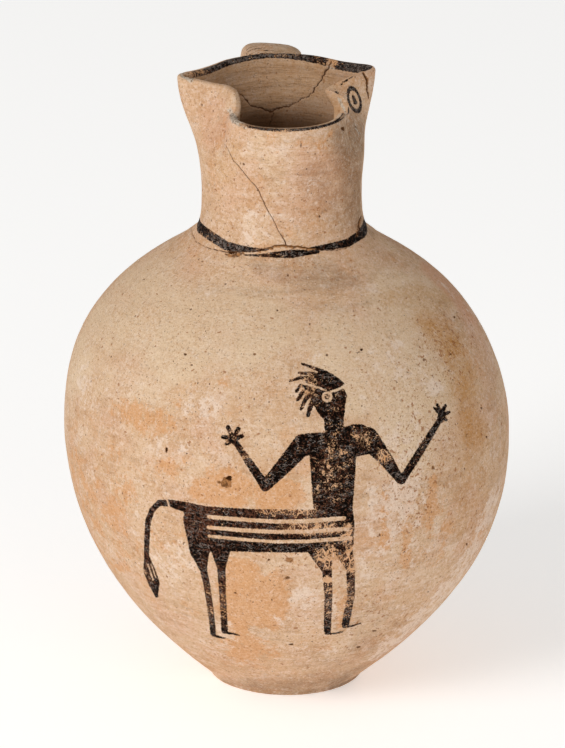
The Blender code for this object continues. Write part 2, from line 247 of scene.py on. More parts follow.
# Places on the finished wall, from a turn (0 to 1, from the lip) and a way along the section
def onWall(turn, way):
    turn = turn % 1.0
    r = np.interp(way, sectionWay, section[:, 0])
    z = np.interp(way, sectionWay, section[:, 1])
    rise = smooth((z - pinchZ) / mouth["pinchDepth"])
    middleR = middleRadiusAt(z)
    angle = turn * math.tau
    thrown = np.stack([np.sin(angle), -np.cos(angle)], 1)
    share = rise[:, None]
    middle = thrown * middleR[:, None] * (1 - share) + atTurn(turn, plan) * share
    outward = thrown * (1 - share) + atTurn(turn, planOut) * share
    outward /= np.linalg.norm(outward, axis=1)[:, None]
    place = middle + outward * (r - middleR)[:, None]
    sway = wall["bellySway"] * np.sin(math.pi * np.clip(z / bellyZ, 0, 1))
    finished = np.stack([place[:, 0] + sway - leanAt(z), place[:, 1], z + rimRise(turn) * rise], 1)
    for thumbWay, spread, depth, push, drop in mouth["thumbs"]:
        pressed = 1 - smooth(np.abs(turn * planLength - thumbWay) / spread)
        pressed = pressed * smooth((z - rimZ + depth) / depth)
        finished += pressed[:, None] * np.array((push, 0, -drop))
    return finished


# The viewer's eye. The painting, cracks and repairs are laid out on a board through the jug's middle that
# faces the eye, in millimetres right and up, and thrown onto the clay from there
eye = {"elevation": math.radians(20.416), "azimuth": math.radians(-6), "distance": 3.134,
       "aim": (0.0, 0.0, 0.125), "columnShift": 4.0, "rowShift": 1.2, "pixelsPerMetre": 2536.0,
       "pictureRows": 748, "normalStep": 0.0004}
sideways, upwards = eye["azimuth"], eye["elevation"]
eyeBack = np.array((math.sin(sideways) * math.cos(upwards), -math.cos(sideways) * math.cos(upwards),
                    math.sin(upwards)))
eyeRight = np.array((math.cos(sideways), math.sin(sideways), 0.0))
eyeUp = np.cross(eyeBack, eyeRight)


def onBoard(points):
    seen = points - np.array(eye["aim"])
    closer = eye["distance"] / (eye["distance"] - seen @ eyeBack)
    return seen @ eyeRight * closer / millimetre, seen @ eyeUp * closer / millimetre


def facing(turn, way):  # how far the wall turns towards the eye: 1 straight at it, below 0 away from it
    step = eye["normalStep"]
    across = onWall(turn + step, way) - onWall(turn - step, way)
    along = onWall(turn, way + step) - onWall(turn, way - step)
    normal = np.cross(along, across)
    normal /= np.linalg.norm(normal, axis=1)[:, None] + 1e-12
    return normal @ eyeBack


def fromLine(u, v, au, av, bu, bv):  # distance in mm to a straight line from a to b, and where along it
    du, dv = bu - au, bv - av
    share = np.clip(((u - au) * du + (v - av) * dv) / (du * du + dv * dv), 0, 1)
    return np.hypot(u - au - share * du, v - av - share * dv), share


# Signed distance in mm to a brush stroke of (right, up, half width) stations, negative inside
def strokeDistance(u, v, stroke):
    best = np.full(len(u), farAway)
    for (au, av, aw), (bu, bv, bw) in zip(stroke, stroke[1:]):
        distance, share = fromLine(u, v, au, av, bu, bv)
        best = np.minimum(best, distance - (aw + (bw - aw) * share))
    return best


def nearest(u, v, strokes):
    return np.minimum.reduce([strokeDistance(u, v, stroke) for stroke in strokes])


def outlineDistance(u, v, corners):  # signed distance in mm to a closed outline, negative inside
    best = np.full(len(u), farAway)
    inside = np.zeros(len(u), bool)
    for (au, av), (bu, bv) in zip(corners, corners[1:] + corners[:1]):
        best = np.minimum(best, fromLine(u, v, au, av, bu, bv)[0])
        crosses = (av > v) != (bv > v)
        inside ^= crosses & (u < au + (v - av) / (bv - av or 1e-9) * (bu - au))
    return np.where(inside, -best, best)


# The painted horse-man, in millimetres on the board
figure = {
    "locks": [
        [(6.1, 3.6, 0.5), (10.5, 2.0, 0.7), (15.4, -0.1, 1.0)],
        [(4.9, -0.1, 0.5), (9.0, -0.2, 0.8), (13.4, -1.4, 1.1)],
        [(1.2, -3.2, 0.5), (5.5, -1.9, 0.7), (10.0, -2.2, 1.1)],
        [(3.8, -7.3, 0.6), (5.4, -5.2, 0.8), (7.8, -4.9, 0.9)],
        [(4.4, -10.6, 0.7), (6.3, -7.8, 0.9), (9.1, -6.2, 1.0)],
        [(5.8, -14.3, 0.7), (7.6, -10.2, 0.9), (10.0, -7.6, 1.1)],
        [(8.4, -16.8, 0.8), (9.5, -13.0, 1.0), (11.4, -9.4, 1.2)],
    ],
    "crown": [
        (7.4, -3.6), (9.4, -1.2), (12.4, 0.0), (16.0, 0.8), (20.3, -1.9), (23.4, -4.6), (21.4, -8.0),
        (13.2, -8.0), (9.2, -6.6),
    ],
    "head": [
        (9.0, -6.4), (13.0, -6.2), (22.2, -5.6), (23.9, -8.8), (23.1, -12.7), (22.6, -18.2), (22.4, -23.0),
        (14.9, -23.0), (14.7, -18.6), (12.2, -15.6), (9.6, -10.5),
    ],
    "eye": (16.0, -9.5), "eyeWhite": 2.1, "eyeRing": 1.15, "eyeDot": 0.45,
    "partings": [
        [(5.0, -3.9, 0.3), (9.6, -4.9, 0.4), (13.0, -6.0, 0.35), (15.4, -6.9, 0.2)],
        [(24.6, -3.4, 0.5), (22.6, -5.4, 0.5), (20.2, -6.7, 0.5), (17.6, -7.5, 0.5)],
    ],
    "torso": [
        (4.2, -25.6), (7.6, -23.9), (15.0, -23.4), (22.6, -21.4), (26.4, -20.2), (30.0, -20.3),
        (33.2, -22.2), (35.6, -26.2), (34.6, -31.6), (27.5, -33.2), (26.7, -45.3), (26.0, -54.2),
        (10.6, -54.2), (9.9, -45.6), (9.1, -32.7), (4.0, -33.0), (2.2, -28.4),
    ],
    "arms": [
        [(6.4, -28.2, 4.1), (-0.6, -36.2, 3.3), (-8.4, -44.6, 2.3)],
        [(-9.6, -43.0, 1.9), (-15.4, -34.5, 1.5), (-20.0, -27.6, 1.1)],
        [(31.8, -25.8, 4.5), (38.4, -33.2, 3.0), (45.0, -42.4, 1.6)],
        [(45.4, -42.6, 1.5), (52.6, -31.2, 1.6), (60.4, -18.6, 1.1)],
    ],
    "hands": [
        [(-20.2, -27.6, 1.2), (-21.4, -26.0, 1.7)], [(-21.4, -25.4, 0.9), (-23.1, -21.4, 0.95)],
        [(-20.7, -25.0, 0.8), (-19.1, -22.2, 1.0)], [(-20.2, -26.0, 0.9), (-17.6, -24.9, 0.9)],
        [(-22.3, -25.6, 0.9), (-25.2, -25.4, 0.85)], [(-22.0, -27.0, 0.9), (-23.8, -28.0, 0.8)],
        [(60.5, -18.6, 1.3), (61.2, -16.8, 1.6)], [(60.8, -16.2, 0.8), (59.3, -12.4, 0.55)],
        [(61.2, -15.6, 1.0), (62.7, -12.8, 0.6)], [(61.9, -16.4, 0.8), (64.0, -15.6, 0.7)],
        [(60.4, -16.4, 0.7), (58.2, -13.8, 0.5)], [(61.4, -17.8, 0.8), (63.0, -18.6, 0.6)],
    ],
    "barrel": [
        (-45.3, -50.0), (-42.0, -50.5), (-31.4, -52.6), (-21.9, -53.2), (-11.8, -53.8), (9.8, -54.0),
        (26.0, -52.6), (26.9, -60.0), (26.4, -68.0), (19.5, -70.6), (7.3, -70.9), (-11.8, -70.7),
        (-22.6, -70.4), (-30.6, -70.4), (-38.6, -62.0), (-41.0, -54.0), (-45.4, -53.0),
    ],
    "stripes": [
        [(-30.6, -56.8, 0.7), (-16.8, -57.9, 0.75), (-4.3, -58.7, 0.75), (8.3, -58.5, 0.8),
         (22.6, -57.4, 0.8)],
        [(-30.8, -60.9, 0.7), (-16.8, -62.1, 0.75), (-4.3, -62.7, 0.75), (8.3, -62.6, 0.8),
         (24.0, -61.6, 0.8)],
        [(-30.6, -64.4, 0.55), (-16.8, -65.7, 0.6), (-4.3, -66.6, 0.6), (8.3, -66.5, 0.7),
         (25.2, -65.2, 0.8)],
    ],
    "legs": [
        [(-35.2, -58.0, 5.6), (-34.2, -70.0, 4.0), (-32.8, -77.5, 1.5), (-31.4, -84.0, 1.35),
         (-29.9, -94.0, 1.25), (-28.9, -102.6, 1.15)],
        [(-26.0, -68.4, 4.4), (-25.7, -77.0, 1.7), (-25.2, -87.5, 1.35), (-24.4, -101.6, 1.35)],
        [(13.6, -70.0, 5.0), (15.9, -78.0, 2.0), (16.5, -87.5, 1.6), (16.1, -101.6, 1.45)],
        [(22.0, -68.6, 4.2), (25.2, -77.0, 1.8), (25.5, -87.5, 1.6), (23.2, -99.0, 1.5)],
    ],
    "feet": [
        [(-29.0, -103.4, 0.6), (-26.6, -104.2, 0.45), (-23.9, -104.7, 0.25)],
        [(-24.2, -102.4, 0.6), (-21.4, -102.8, 0.45), (-18.6, -103.5, 0.25)],
        [(15.4, -102.8, 0.5), (18.8, -102.8, 0.4), (22.2, -102.0, 0.25)],
        [(22.4, -100.2, 0.5), (25.8, -99.8, 0.4), (29.3, -98.7, 0.25)],
    ],
    "tail": [
        (-41.5, -52.6, 2.0), (-45.4, -51.5, 1.5), (-50.0, -51.2, 1.25), (-53.0, -54.0, 1.2),
        (-54.6, -58.5, 1.2), (-55.1, -66.0, 1.1), (-55.2, -73.0, 1.0),
    ],
    "tuft": [(-55.2, -72.0, 0.9), (-54.2, -77.5, 2.3), (-52.2, -83.0, 2.2), (-51.2, -88.2, 0.6)],
    "tuftLines": [[(-54.6, -75.6, 0.2), (-52.6, -81.6, 0.25)], [(-53.4, -75.4, 0.15), (-51.6, -80.6, 0.2)]],
    "tailGap": [(-47.3, -49.6, 0.3), (-46.0, -53.4, 0.3)],
}


def figureDistance(u, v):
    parts = [outlineDistance(u, v, figure[k]) for k in ("crown", "head", "torso", "barrel")]
    strokes = figure["locks"] + figure["arms"] + figure["hands"] + figure["legs"] + figure["feet"]
    painted = np.minimum.reduce(parts + [nearest(u, v, strokes + [figure["tail"], figure["tuft"]])])
    gaps = figure["stripes"] + figure["partings"] + figure["tuftLines"] + [figure["tailGap"]]
    fromEye = np.hypot(u - figure["eye"][0], v - figure["eye"][1])
    bare = np.minimum(nearest(u, v, gaps), fromEye - figure["eyeWhite"])
    painted = np.maximum(painted, -bare)
    return np.minimum(painted, np.maximum(fromEye - figure["eyeRing"], figure["eyeDot"] - fromEye))


# Bands round the neck and the rim, and the ring-and-dot eye on the right-hand lobe. Rim bands are given by
# the way in mm from the lip's tip round each side: how far they reach down the inside and down the outside
bands = {
    "neckHeight": 0.1882, "neckHalf": 1.7, "neckHidden": 0.12, "neckTurn": 0.30,
    "neckFront": [
        [(-34.7, 58.4, 1.7), (-33.9, 56.8, 1.9), (-29.6, 53.7, 1.9), (-23.9, 50.1, 1.8), (-18.3, 49.0, 1.4),
         (-12.4, 48.4, 0.9), (-6.9, 48.6, 0.3)],
        [(-16.8, 46.5, 0.3), (-10.4, 46.3, 0.6), (-4.1, 46.6, 1.25), (2.2, 46.9, 1.7), (7.7, 47.4, 1.1),
         (12.4, 47.8, 0.8)],
        [(9.5, 48.7, 0.8), (17.5, 49.8, 1.4), (24.3, 51.3, 1.7), (29.4, 54.6, 1.8), (31.6, 57.2, 1.9),
         (32.2, 58.8, 1.6)],
    ],
    "rimRight": {
        "way": [0, 29, 36, 38, 58, 62, 67, 84, 112], "in": [-0.3, -0.3, -0.3, -3, -3, 1.2, 4.4, 4.0, 2.3],
        "out": [1.9, 1.8, 0.9, -3, -3, 0.3, 0.5, 0.5, 0.8],
    },
    "rimLeft": {
        "way": [0, 21, 25, 60, 64, 84, 112], "in": [-0.3, -0.3, -3, -3, 3.6, 3.4, 2.3],
        "out": [1.9, 1.8, -3, -3, -0.6, -0.2, 0.8],
    },
    "lobeEye": (26.8, 107.7), "lobeEyeHalf": (2.2, 4.7), "lobeEyeTilt": math.radians(-17),
    "lobeEyeLine": 0.75,
    "lobeDot": [(26.3, 109.0, 0.6), (27.2, 106.5, 0.8)],
    "lobeDashes": [
        [(21.2, 113.4, 0.3), (22.0, 114.4, 0.45)], [(23.0, 114.8, 0.35), (23.9, 115.6, 0.45)],
        [(24.7, 116.1, 0.2), (26.0, 116.8, 0.3)], [(19.4, 110.8, 0.4), (20.3, 110.3, 0.45)],
    ],
}


def neckBandDistance(z, u, v, toEye):
    behind = bands["neckHalf"] - np.abs(z - bands["neckHeight"]) / millimetre
    turned = smooth((toEye - bands["neckHidden"]) / bands["neckTurn"])
    return -nearest(u, v, bands["neckFront"]) * turned + behind * (1 - turned)


def rimBandDistance(turn, way):
    past = (way - rimWay) / millimetre
    side = [bands["rimRight"], bands["rimLeft"]]
    fromTip = [turn * planLength / millimetre, (1 - turn) * planLength / millimetre]
    reach = [[np.interp(tip, s["way"], s[k]) for k in ("in", "out")] for tip, s in zip(fromTip, side)]
    inward, outward = (np.where(turn < 0.5, reach[0][k], reach[1][k]) for k in (0, 1))
    return np.minimum(past + inward, outward - past)


def lobeEyeDistance(u, v):
    du, dv = u - bands["lobeEye"][0], v - bands["lobeEye"][1]
    c, s = math.cos(bands["lobeEyeTilt"]), math.sin(bands["lobeEyeTilt"])
    across, along = bands["lobeEyeHalf"]
    a, b = (du * c - dv * s) / across, (du * s + dv * c) / along
    ring = bands["lobeEyeLine"] - np.abs(np.hypot(a, b) - 1) * (across + along) / 2
    return np.maximum(ring, -nearest(u, v, bands["lobeDashes"] + [bands["lobeDot"]]))


# Cracks, breaks and holes on the board: each stroke is (right, up, half width)
damage = {
    "outsideCracks": [
        [(-24.4, 90.4, 0.0), (-21.1, 83.9, 0.05), (-14.8, 76.4, 0.07), (-11.2, 72.1, 0.09),
         (-8.5, 65.8, 0.09), (-6.1, 61.8, 0.07), (-3.0, 55.5, 0.07), (-0.9, 52.2, 0.14), (-0.2, 50.4, 0.2)],
        [(-37.6, 57.5, 0.0), (-37.2, 54.6, 0.05), (-35.8, 51.8, 0.08), (-31.8, 49.6, 0.10),
         (-25.4, 47.9, 0.14), (-21.6, 47.6, 0.30), (-16.4, 47.8, 0.12), (-9.6, 48.4, 0.12),
         (-4.4, 50.3, 0.14), (0.4, 50.1, 0.2), (9.0, 49.2, 0.18), (14.0, 48.4, 0.12), (20.3, 48.4, 0.10),
         (25.4, 49.6, 0.05)],
        [(29.6, 61.6, 0.1), (28.4, 58.8, 0.25), (29.0, 56.4, 0.25), (27.4, 53.6, 0.2)],
        [(29.0, 120.0, 0.18), (30.8, 117.4, 0.32), (31.9, 114.6, 0.26), (32.0, 110.8, 0.2),
         (32.5, 108.0, 0.08)],
    ],
    "insideCracks": [
        [(-18.4, 109.6, 0.1), (-12.8, 105.0, 0.16), (-6.6, 103.2, 0.3), (-0.6, 104.6, 0.2),
         (4.2, 106.6, 0.14), (10.4, 110.6, 0.14), (14.0, 116.2, 0.22), (16.4, 119.8, 0.25),
         (17.2, 123.2, 0.2)],
        [(-5.4, 102.6, 0.1), (-6.1, 97.6, 0.05)],
    ],
    "holes": [  # right, up, half sizes, tilt in degrees, depth, darkness
        (-23.8, -43.4, 2.0, 2.2, 30, 1.1, 0.0), (-26.6, -43.2, 1.2, 0.7, -10, 0.4, 0.2),
        (-22.9, -41.8, 1.3, 1.0, 15, 2.4, 1.0), (-47.4, -30.4, 0.4, 1.0, 0, 1.3, 1.0),
        (29.6, 9.2, 0.6, 0.45, 30, 0.9, 0.9), (22.3, 96.2, 0.7, 0.9, 40, 0.7, 0.8),
        (-21.8, 47.6, 1.3, 0.6, 0, 1.4, 0.9), (1.8, -107.2, 1.0, 0.35, 8, 0.6, 0.9),
        (28.4, -108.2, 0.8, 0.35, 8, 0.6, 0.7), (34.6, -101.8, 1.0, 0.35, 4, 0.5, 0.6),
        (1.2, -74.0, 1.8, 1.0, 0, 0.5, 0.3), (0.2, -81.0, 1.4, 0.7, 10, 0.4, 0.3),
        (-7.0, -73.8, 0.6, 0.45, 0, 0.5, 0.6), (66.2, 22.0, 0.4, 0.35, 0, 0.6, 0.8),
        (64.9, 7.4, 0.4, 0.35, 0, 0.6, 0.6), (79.0, -25.3, 0.4, 0.45, 0, 0.6, 0.7),
        (77.0, -13.8, 0.4, 0.35, 0, 0.6, 0.8), (54.4, 5.3, 0.8, 0.7, 0, 0.3, 0.4),
        (-56.2, 37.0, 0.35, 0.35, 0, 0.5, 0.6), (-40.0, 7.4, 0.7, 0.5, 0, 0.5, 0.5),
        (-12.6, 7.4, 0.7, 0.45, 0, 0.4, 0.4), (-37.4, 3.1, 0.35, 0.35, 0, 0.6, 0.8),
        (57.9, -37.5, 0.7, 0.9, 30, 0.4, 0.4), (0.6, 38.6, 0.35, 0.6, 0, 0.5, 0.6),
        (71.2, -67.6, 0.4, 0.6, 0, 0.5, 0.6), (36.8, -64.0, 0.4, 0.7, 0, 0.4, 0.5),
    ],
    "plaster": [
        [(-40.4, 117.4, 1.3), (-38.2, 116.4, 1.6)],
        [(-22.4, 103.6, 0.9), (-20.6, 99.6, 1.1), (-16.4, 97.0, 0.8)],
        [(19.6, 109.0, 0.2), (20.8, 107.0, 0.5), (22.4, 104.8, 0.6), (23.3, 102.6, 0.4), (21.4, 100.2, 0.3)],
        [(16.4, 122.4, 0.8), (17.8, 119.8, 1.3)], [(27.0, 98.6, 0.2), (28.4, 94.0, 0.3)],
        [(-28.4, 117.0, 0.8), (-26.2, 114.6, 0.8)],
    ],
    "rawClay": [
        [(-8.6, 49.0, 0.2), (-4.1, 49.7, 0.45), (1.4, 49.9, 0.45), (7.3, 49.1, 0.4), (12.0, 48.8, 0.2)],
        [(-24.4, 46.8, 0.3), (-20.6, 46.4, 0.8), (-16.8, 46.9, 0.3)],
        [(29.4, 119.8, 0.3), (31.6, 116.0, 0.5), (32.0, 112.0, 0.35), (32.4, 108.6, 0.1)],
        [(29.2, 60.4, 0.2), (28.4, 57.6, 0.3), (27.8, 54.0, 0.1)],
    ],
    # what is gone at a crack, a break and a plaster filling: depth, distance from its edge, softness
    "carved": [("crack", 0.40, 0.12, 0.4), ("raw", 0.35, 0.3, 0.5), ("plaster", 0.12, 0.2, 0.5)],
    "outsideWobble": 0.14, "insideWobble": 0.6, "breakWobble": 0.5,
    "seenFrom": 0.05, "filledFrom": -0.3, "rimZone": 0.0045,
}


def wobbled(u, v, wobble):  # places on the board shifted a little, so that edges of breaks aren't even
    byV = 0.5 * np.sin(0.9 * v + 1.3) + 0.3 * np.sin(2.3 * v + 0.7 * u) + 0.16 * np.sin(5.1 * v - 1.1 * u)
    byU = 0.5 * np.sin(0.8 * u + 0.4) + 0.3 * np.sin(2.1 * u - 0.6 * v) + 0.16 * np.sin(4.7 * u + 1.3 * v)
    return u + wobble * byV, v + wobble * byU


# Depth in mm of the located chips and pits, the distance to their edges and their darkness
def holeDepth(u, v):
    depth, edge, dark = np.zeros(len(u)), np.full(len(u), farAway), np.zeros(len(u))
    for right, up, halfU, halfV, tilt, deep, tone in damage["holes"]:
        c, s = math.cos(math.radians(tilt)), math.sin(math.radians(tilt))
        du, dv = u - right, v - up
        a, b = (du * c + dv * s) / halfU, (dv * c - du * s) / halfV
        around = np.arctan2(b, a)
        ragged = 1 + 0.12 * np.sin(3 * around + right) + 0.08 * np.sin(7 * around + up)
        q = np.hypot(a, b) * ragged
        depth = np.maximum(depth, deep * np.sqrt(np.clip(1 - q * q, 0, 1)))
        edge = np.minimum(edge, (q - 1) * min(halfU, halfV))
        dark = np.maximum(dark, tone * np.clip((1.1 - q) * 3, 0, 1))
    return depth, edge, dark


# Small pits left by burnt-out grit, all round
grit = {"count": 190, "smallest": 0.22, "largest": 0.75, "depth": 0.9, "seed": 11,
        "belowRim": 0.004, "leftOut": 0.036}
dice = np.random.default_rng(grit["seed"])
gritTurn = dice.random(grit["count"])
gritReach = sectionWay[-1] - grit["leftOut"] - rimWay
gritWay = rimWay + grit["belowRim"] + dice.random(grit["count"]) * gritReach
gritSize = grit["smallest"] + (grit["largest"] - grit["smallest"]) * dice.random(grit["count"]) ** 3
gritPlaces = onWall(gritTurn, gritWay)


def gritDepth(points):
    depth, edge = np.zeros(len(points)), np.full(len(points), farAway)
    for place, size in zip(gritPlaces, gritSize):
        near = np.abs(points[:, 2] - place[2]) < 10 * millimetre
        q = np.linalg.norm(points[near] - place, axis=1) / millimetre / size
        depth[near] = np.maximum(depth[near], grit["depth"] * size * np.clip(1 - q * q, 0, 1))
        edge[near] = np.minimum(edge[near], (q - 1) * size)
    return depth, edge


def surveyed(turn, way):  # everything that is painted on the wall or broken out of it, at many places
    points = onWall(turn, way)
    u, v = onBoard(points)
    toEye = facing(turn, way)
    outside, seen = way > rimWay, toEye > damage["seenFrom"]
    front = outside & seen
    rimZone = np.abs(way - rimWay) < damage["rimZone"]
    found = {"points": points, "u": u, "v": v}
    ink = np.where(front, -figureDistance(u, v), -farAway)
    ink = np.where(outside, np.maximum(ink, neckBandDistance(points[:, 2], u, v, toEye)), ink)
    ink = np.where(front, np.maximum(ink, lobeEyeDistance(u, v)), ink)
    found["ink"] = np.maximum(ink, rimBandDistance(turn, way))
    outerCrack = nearest(*wobbled(u, v, damage["outsideWobble"]), damage["outsideCracks"])
    innerCrack = nearest(*wobbled(u, v, damage["insideWobble"]), damage["insideCracks"])
    found["crack"] = np.where(front, outerCrack, np.where(~outside & seen, innerCrack, farAway))
    broken = wobbled(u, v, damage["breakWobble"])
    filled = (front | rimZone) & (toEye > damage["filledFrom"])
    found["plaster"] = np.where(filled, nearest(*broken, damage["plaster"]), farAway)
    found["raw"] = np.where(front, nearest(*broken, damage["rawClay"]), farAway)
    holes, holeEdge, dark = holeDepth(u, v)
    pits, pitEdge = gritDepth(points)
    found["hole"] = np.where(front, holes, 0.0)
    found["dark"] = np.where(front, dark, 0.0)
    found["pit"] = np.where(outside, pits, 0.0)
    chipEdge = np.minimum(np.where(front, holeEdge, farAway), pitEdge)
    found["fine"] = np.minimum(np.abs(found["crack"]), np.maximum(chipEdge, -0.1))
    found["paintEdge"] = np.minimum(np.abs(found["ink"]), np.abs(found["plaster"]))
    return found


# The wall as an unrolled sheet of cells, split into quarters down to a sixteenth where detail needs it
sheet = {
    "columns": 112, "parts": 16, "plain": 8, "paintCell": 0.62, "damageCell": 0.42,
    "floor": 0.006, "inside": 0.006, "neckInside": 0.0032, "rim": 0.0008, "rimReach": 0.004,
    "neck": 0.0032, "body": 0.0046, "foot": 0.0009, "under": 0.005,
    "splitReach": 0.75, "seenAbove": 0.02, "poleRadius": 0.003, "sharpAngle": math.radians(50),
}


def wayAt(z, outside):
    inner = (sectionWay < rimWay) & (section[:, 0] > wall["footRadius"] * 0.7)
    side = sectionWay > rimWay if outside else inner
    order = np.argsort(section[side, 1])
    return float(np.interp(z, section[side, 1][order], sectionWay[side][order]))


def sheetRows():
    floorEdge = float(sectionWay[wall["floorSteps"]])
    footEdge = wayAt(wall["footHeight"], True)
    stops = [
        (0.0, sheet["floor"]), (floorEdge, sheet["inside"]), (wayAt(rootZ, False), sheet["neckInside"]),
        (rimWay - sheet["rimReach"], sheet["rim"]), (rimWay + sheet["rimReach"], sheet["neck"]),
        (wayAt(rootZ, True), sheet["body"]), (footEdge, sheet["foot"]), (underWay, sheet["under"]),
        (sectionWay[-1], None),
    ]
    rows = [0.0]
    for (start, spacing), (end, _) in zip(stops, stops[1:]):
        steps = max(1, round((end - start) / spacing))
        rows += list(np.linspace(start, end, steps + 1)[1:])
    return np.array(rows)


rowWay = sheetRows()
acrossCount = sheet["columns"] * sheet["parts"]


def sheetPlace(i, j):
    return i / acrossCount, np.interp(j / sheet["parts"], np.arange(len(rowWay)), rowWay)


def needsSplit(i, j, size):
    turn, way = sheetPlace(i + size / 2, j + size / 2)
    found = surveyed(turn, way)
    radius = np.hypot(found["points"][:, 0], found["points"][:, 1])
    _, below = sheetPlace(i, j)
    _, above = sheetPlace(i, j + size)
    span = np.maximum(radius * math.tau / acrossCount * size, np.abs(above - below)) / millimetre
    visibleInside = (way > wayAt(rootZ + sheet["seenAbove"], False)) & (way < rimWay)
    split = ((way > rimWay) & (way < underWay) | visibleInside) & (size > sheet["plain"])
    split |= (found["paintEdge"] < span * sheet["splitReach"]) & (span > sheet["paintCell"])
    split |= (found["fine"] < span * sheet["splitReach"]) & (span > sheet["damageCell"])
    return split


def splitCells():
    i, j = np.meshgrid(np.arange(sheet["columns"]), np.arange(len(rowWay) - 1), indexing="ij")
    i, j, size = i.ravel() * sheet["parts"], j.ravel() * sheet["parts"], sheet["parts"]
    leaves = []
    while size > 1:
        split = needsSplit(i, j, size)
        leaves.append(np.stack([i[~split], j[~split], np.full((~split).sum(), size)], 1))
        i, j, size = i[split], j[split], size // 2
        i, j = np.concatenate([i, i + size, i, i + size]), np.concatenate([j, j, j + size, j + size])
    leaves.append(np.stack([i, j, np.full(len(i), 1)], 1))
    return np.vstack(leaves)


def sheetMesh():
    leaves = splitCells()
    number = {}
    for i, j, size in leaves.tolist():
        for corner in ((i, j), (i, j + size), (i + size, j + size), (i + size, j)):
            number.setdefault((corner[0] % acrossCount, corner[1]), len(number))
    faces = []
    for i, j, size in leaves.tolist():
        left = [(i, j + k) for k in range(size)]
        top = [(i + k, j + size) for k in range(size)]
        right = [(i + size, j + size - k) for k in range(size)]
        bottom = [(i + size - k, j) for k in range(size)]
        ring = [number.get((a % acrossCount, b)) for a, b in left + top + right + bottom]
        faces.append([k for k in ring if k is not None])
    grid = np.array(list(number))
    return grid[:, 0], grid[:, 1], faces


columnsAt, rowsAt, wallFaces = sheetMesh()
wallTurn, wallWay = sheetPlace(columnsAt, rowsAt)
found = surveyed(wallTurn, wallWay)
print("wall laid out:", len(wallFaces), "faces,", len(columnsAt), "points")

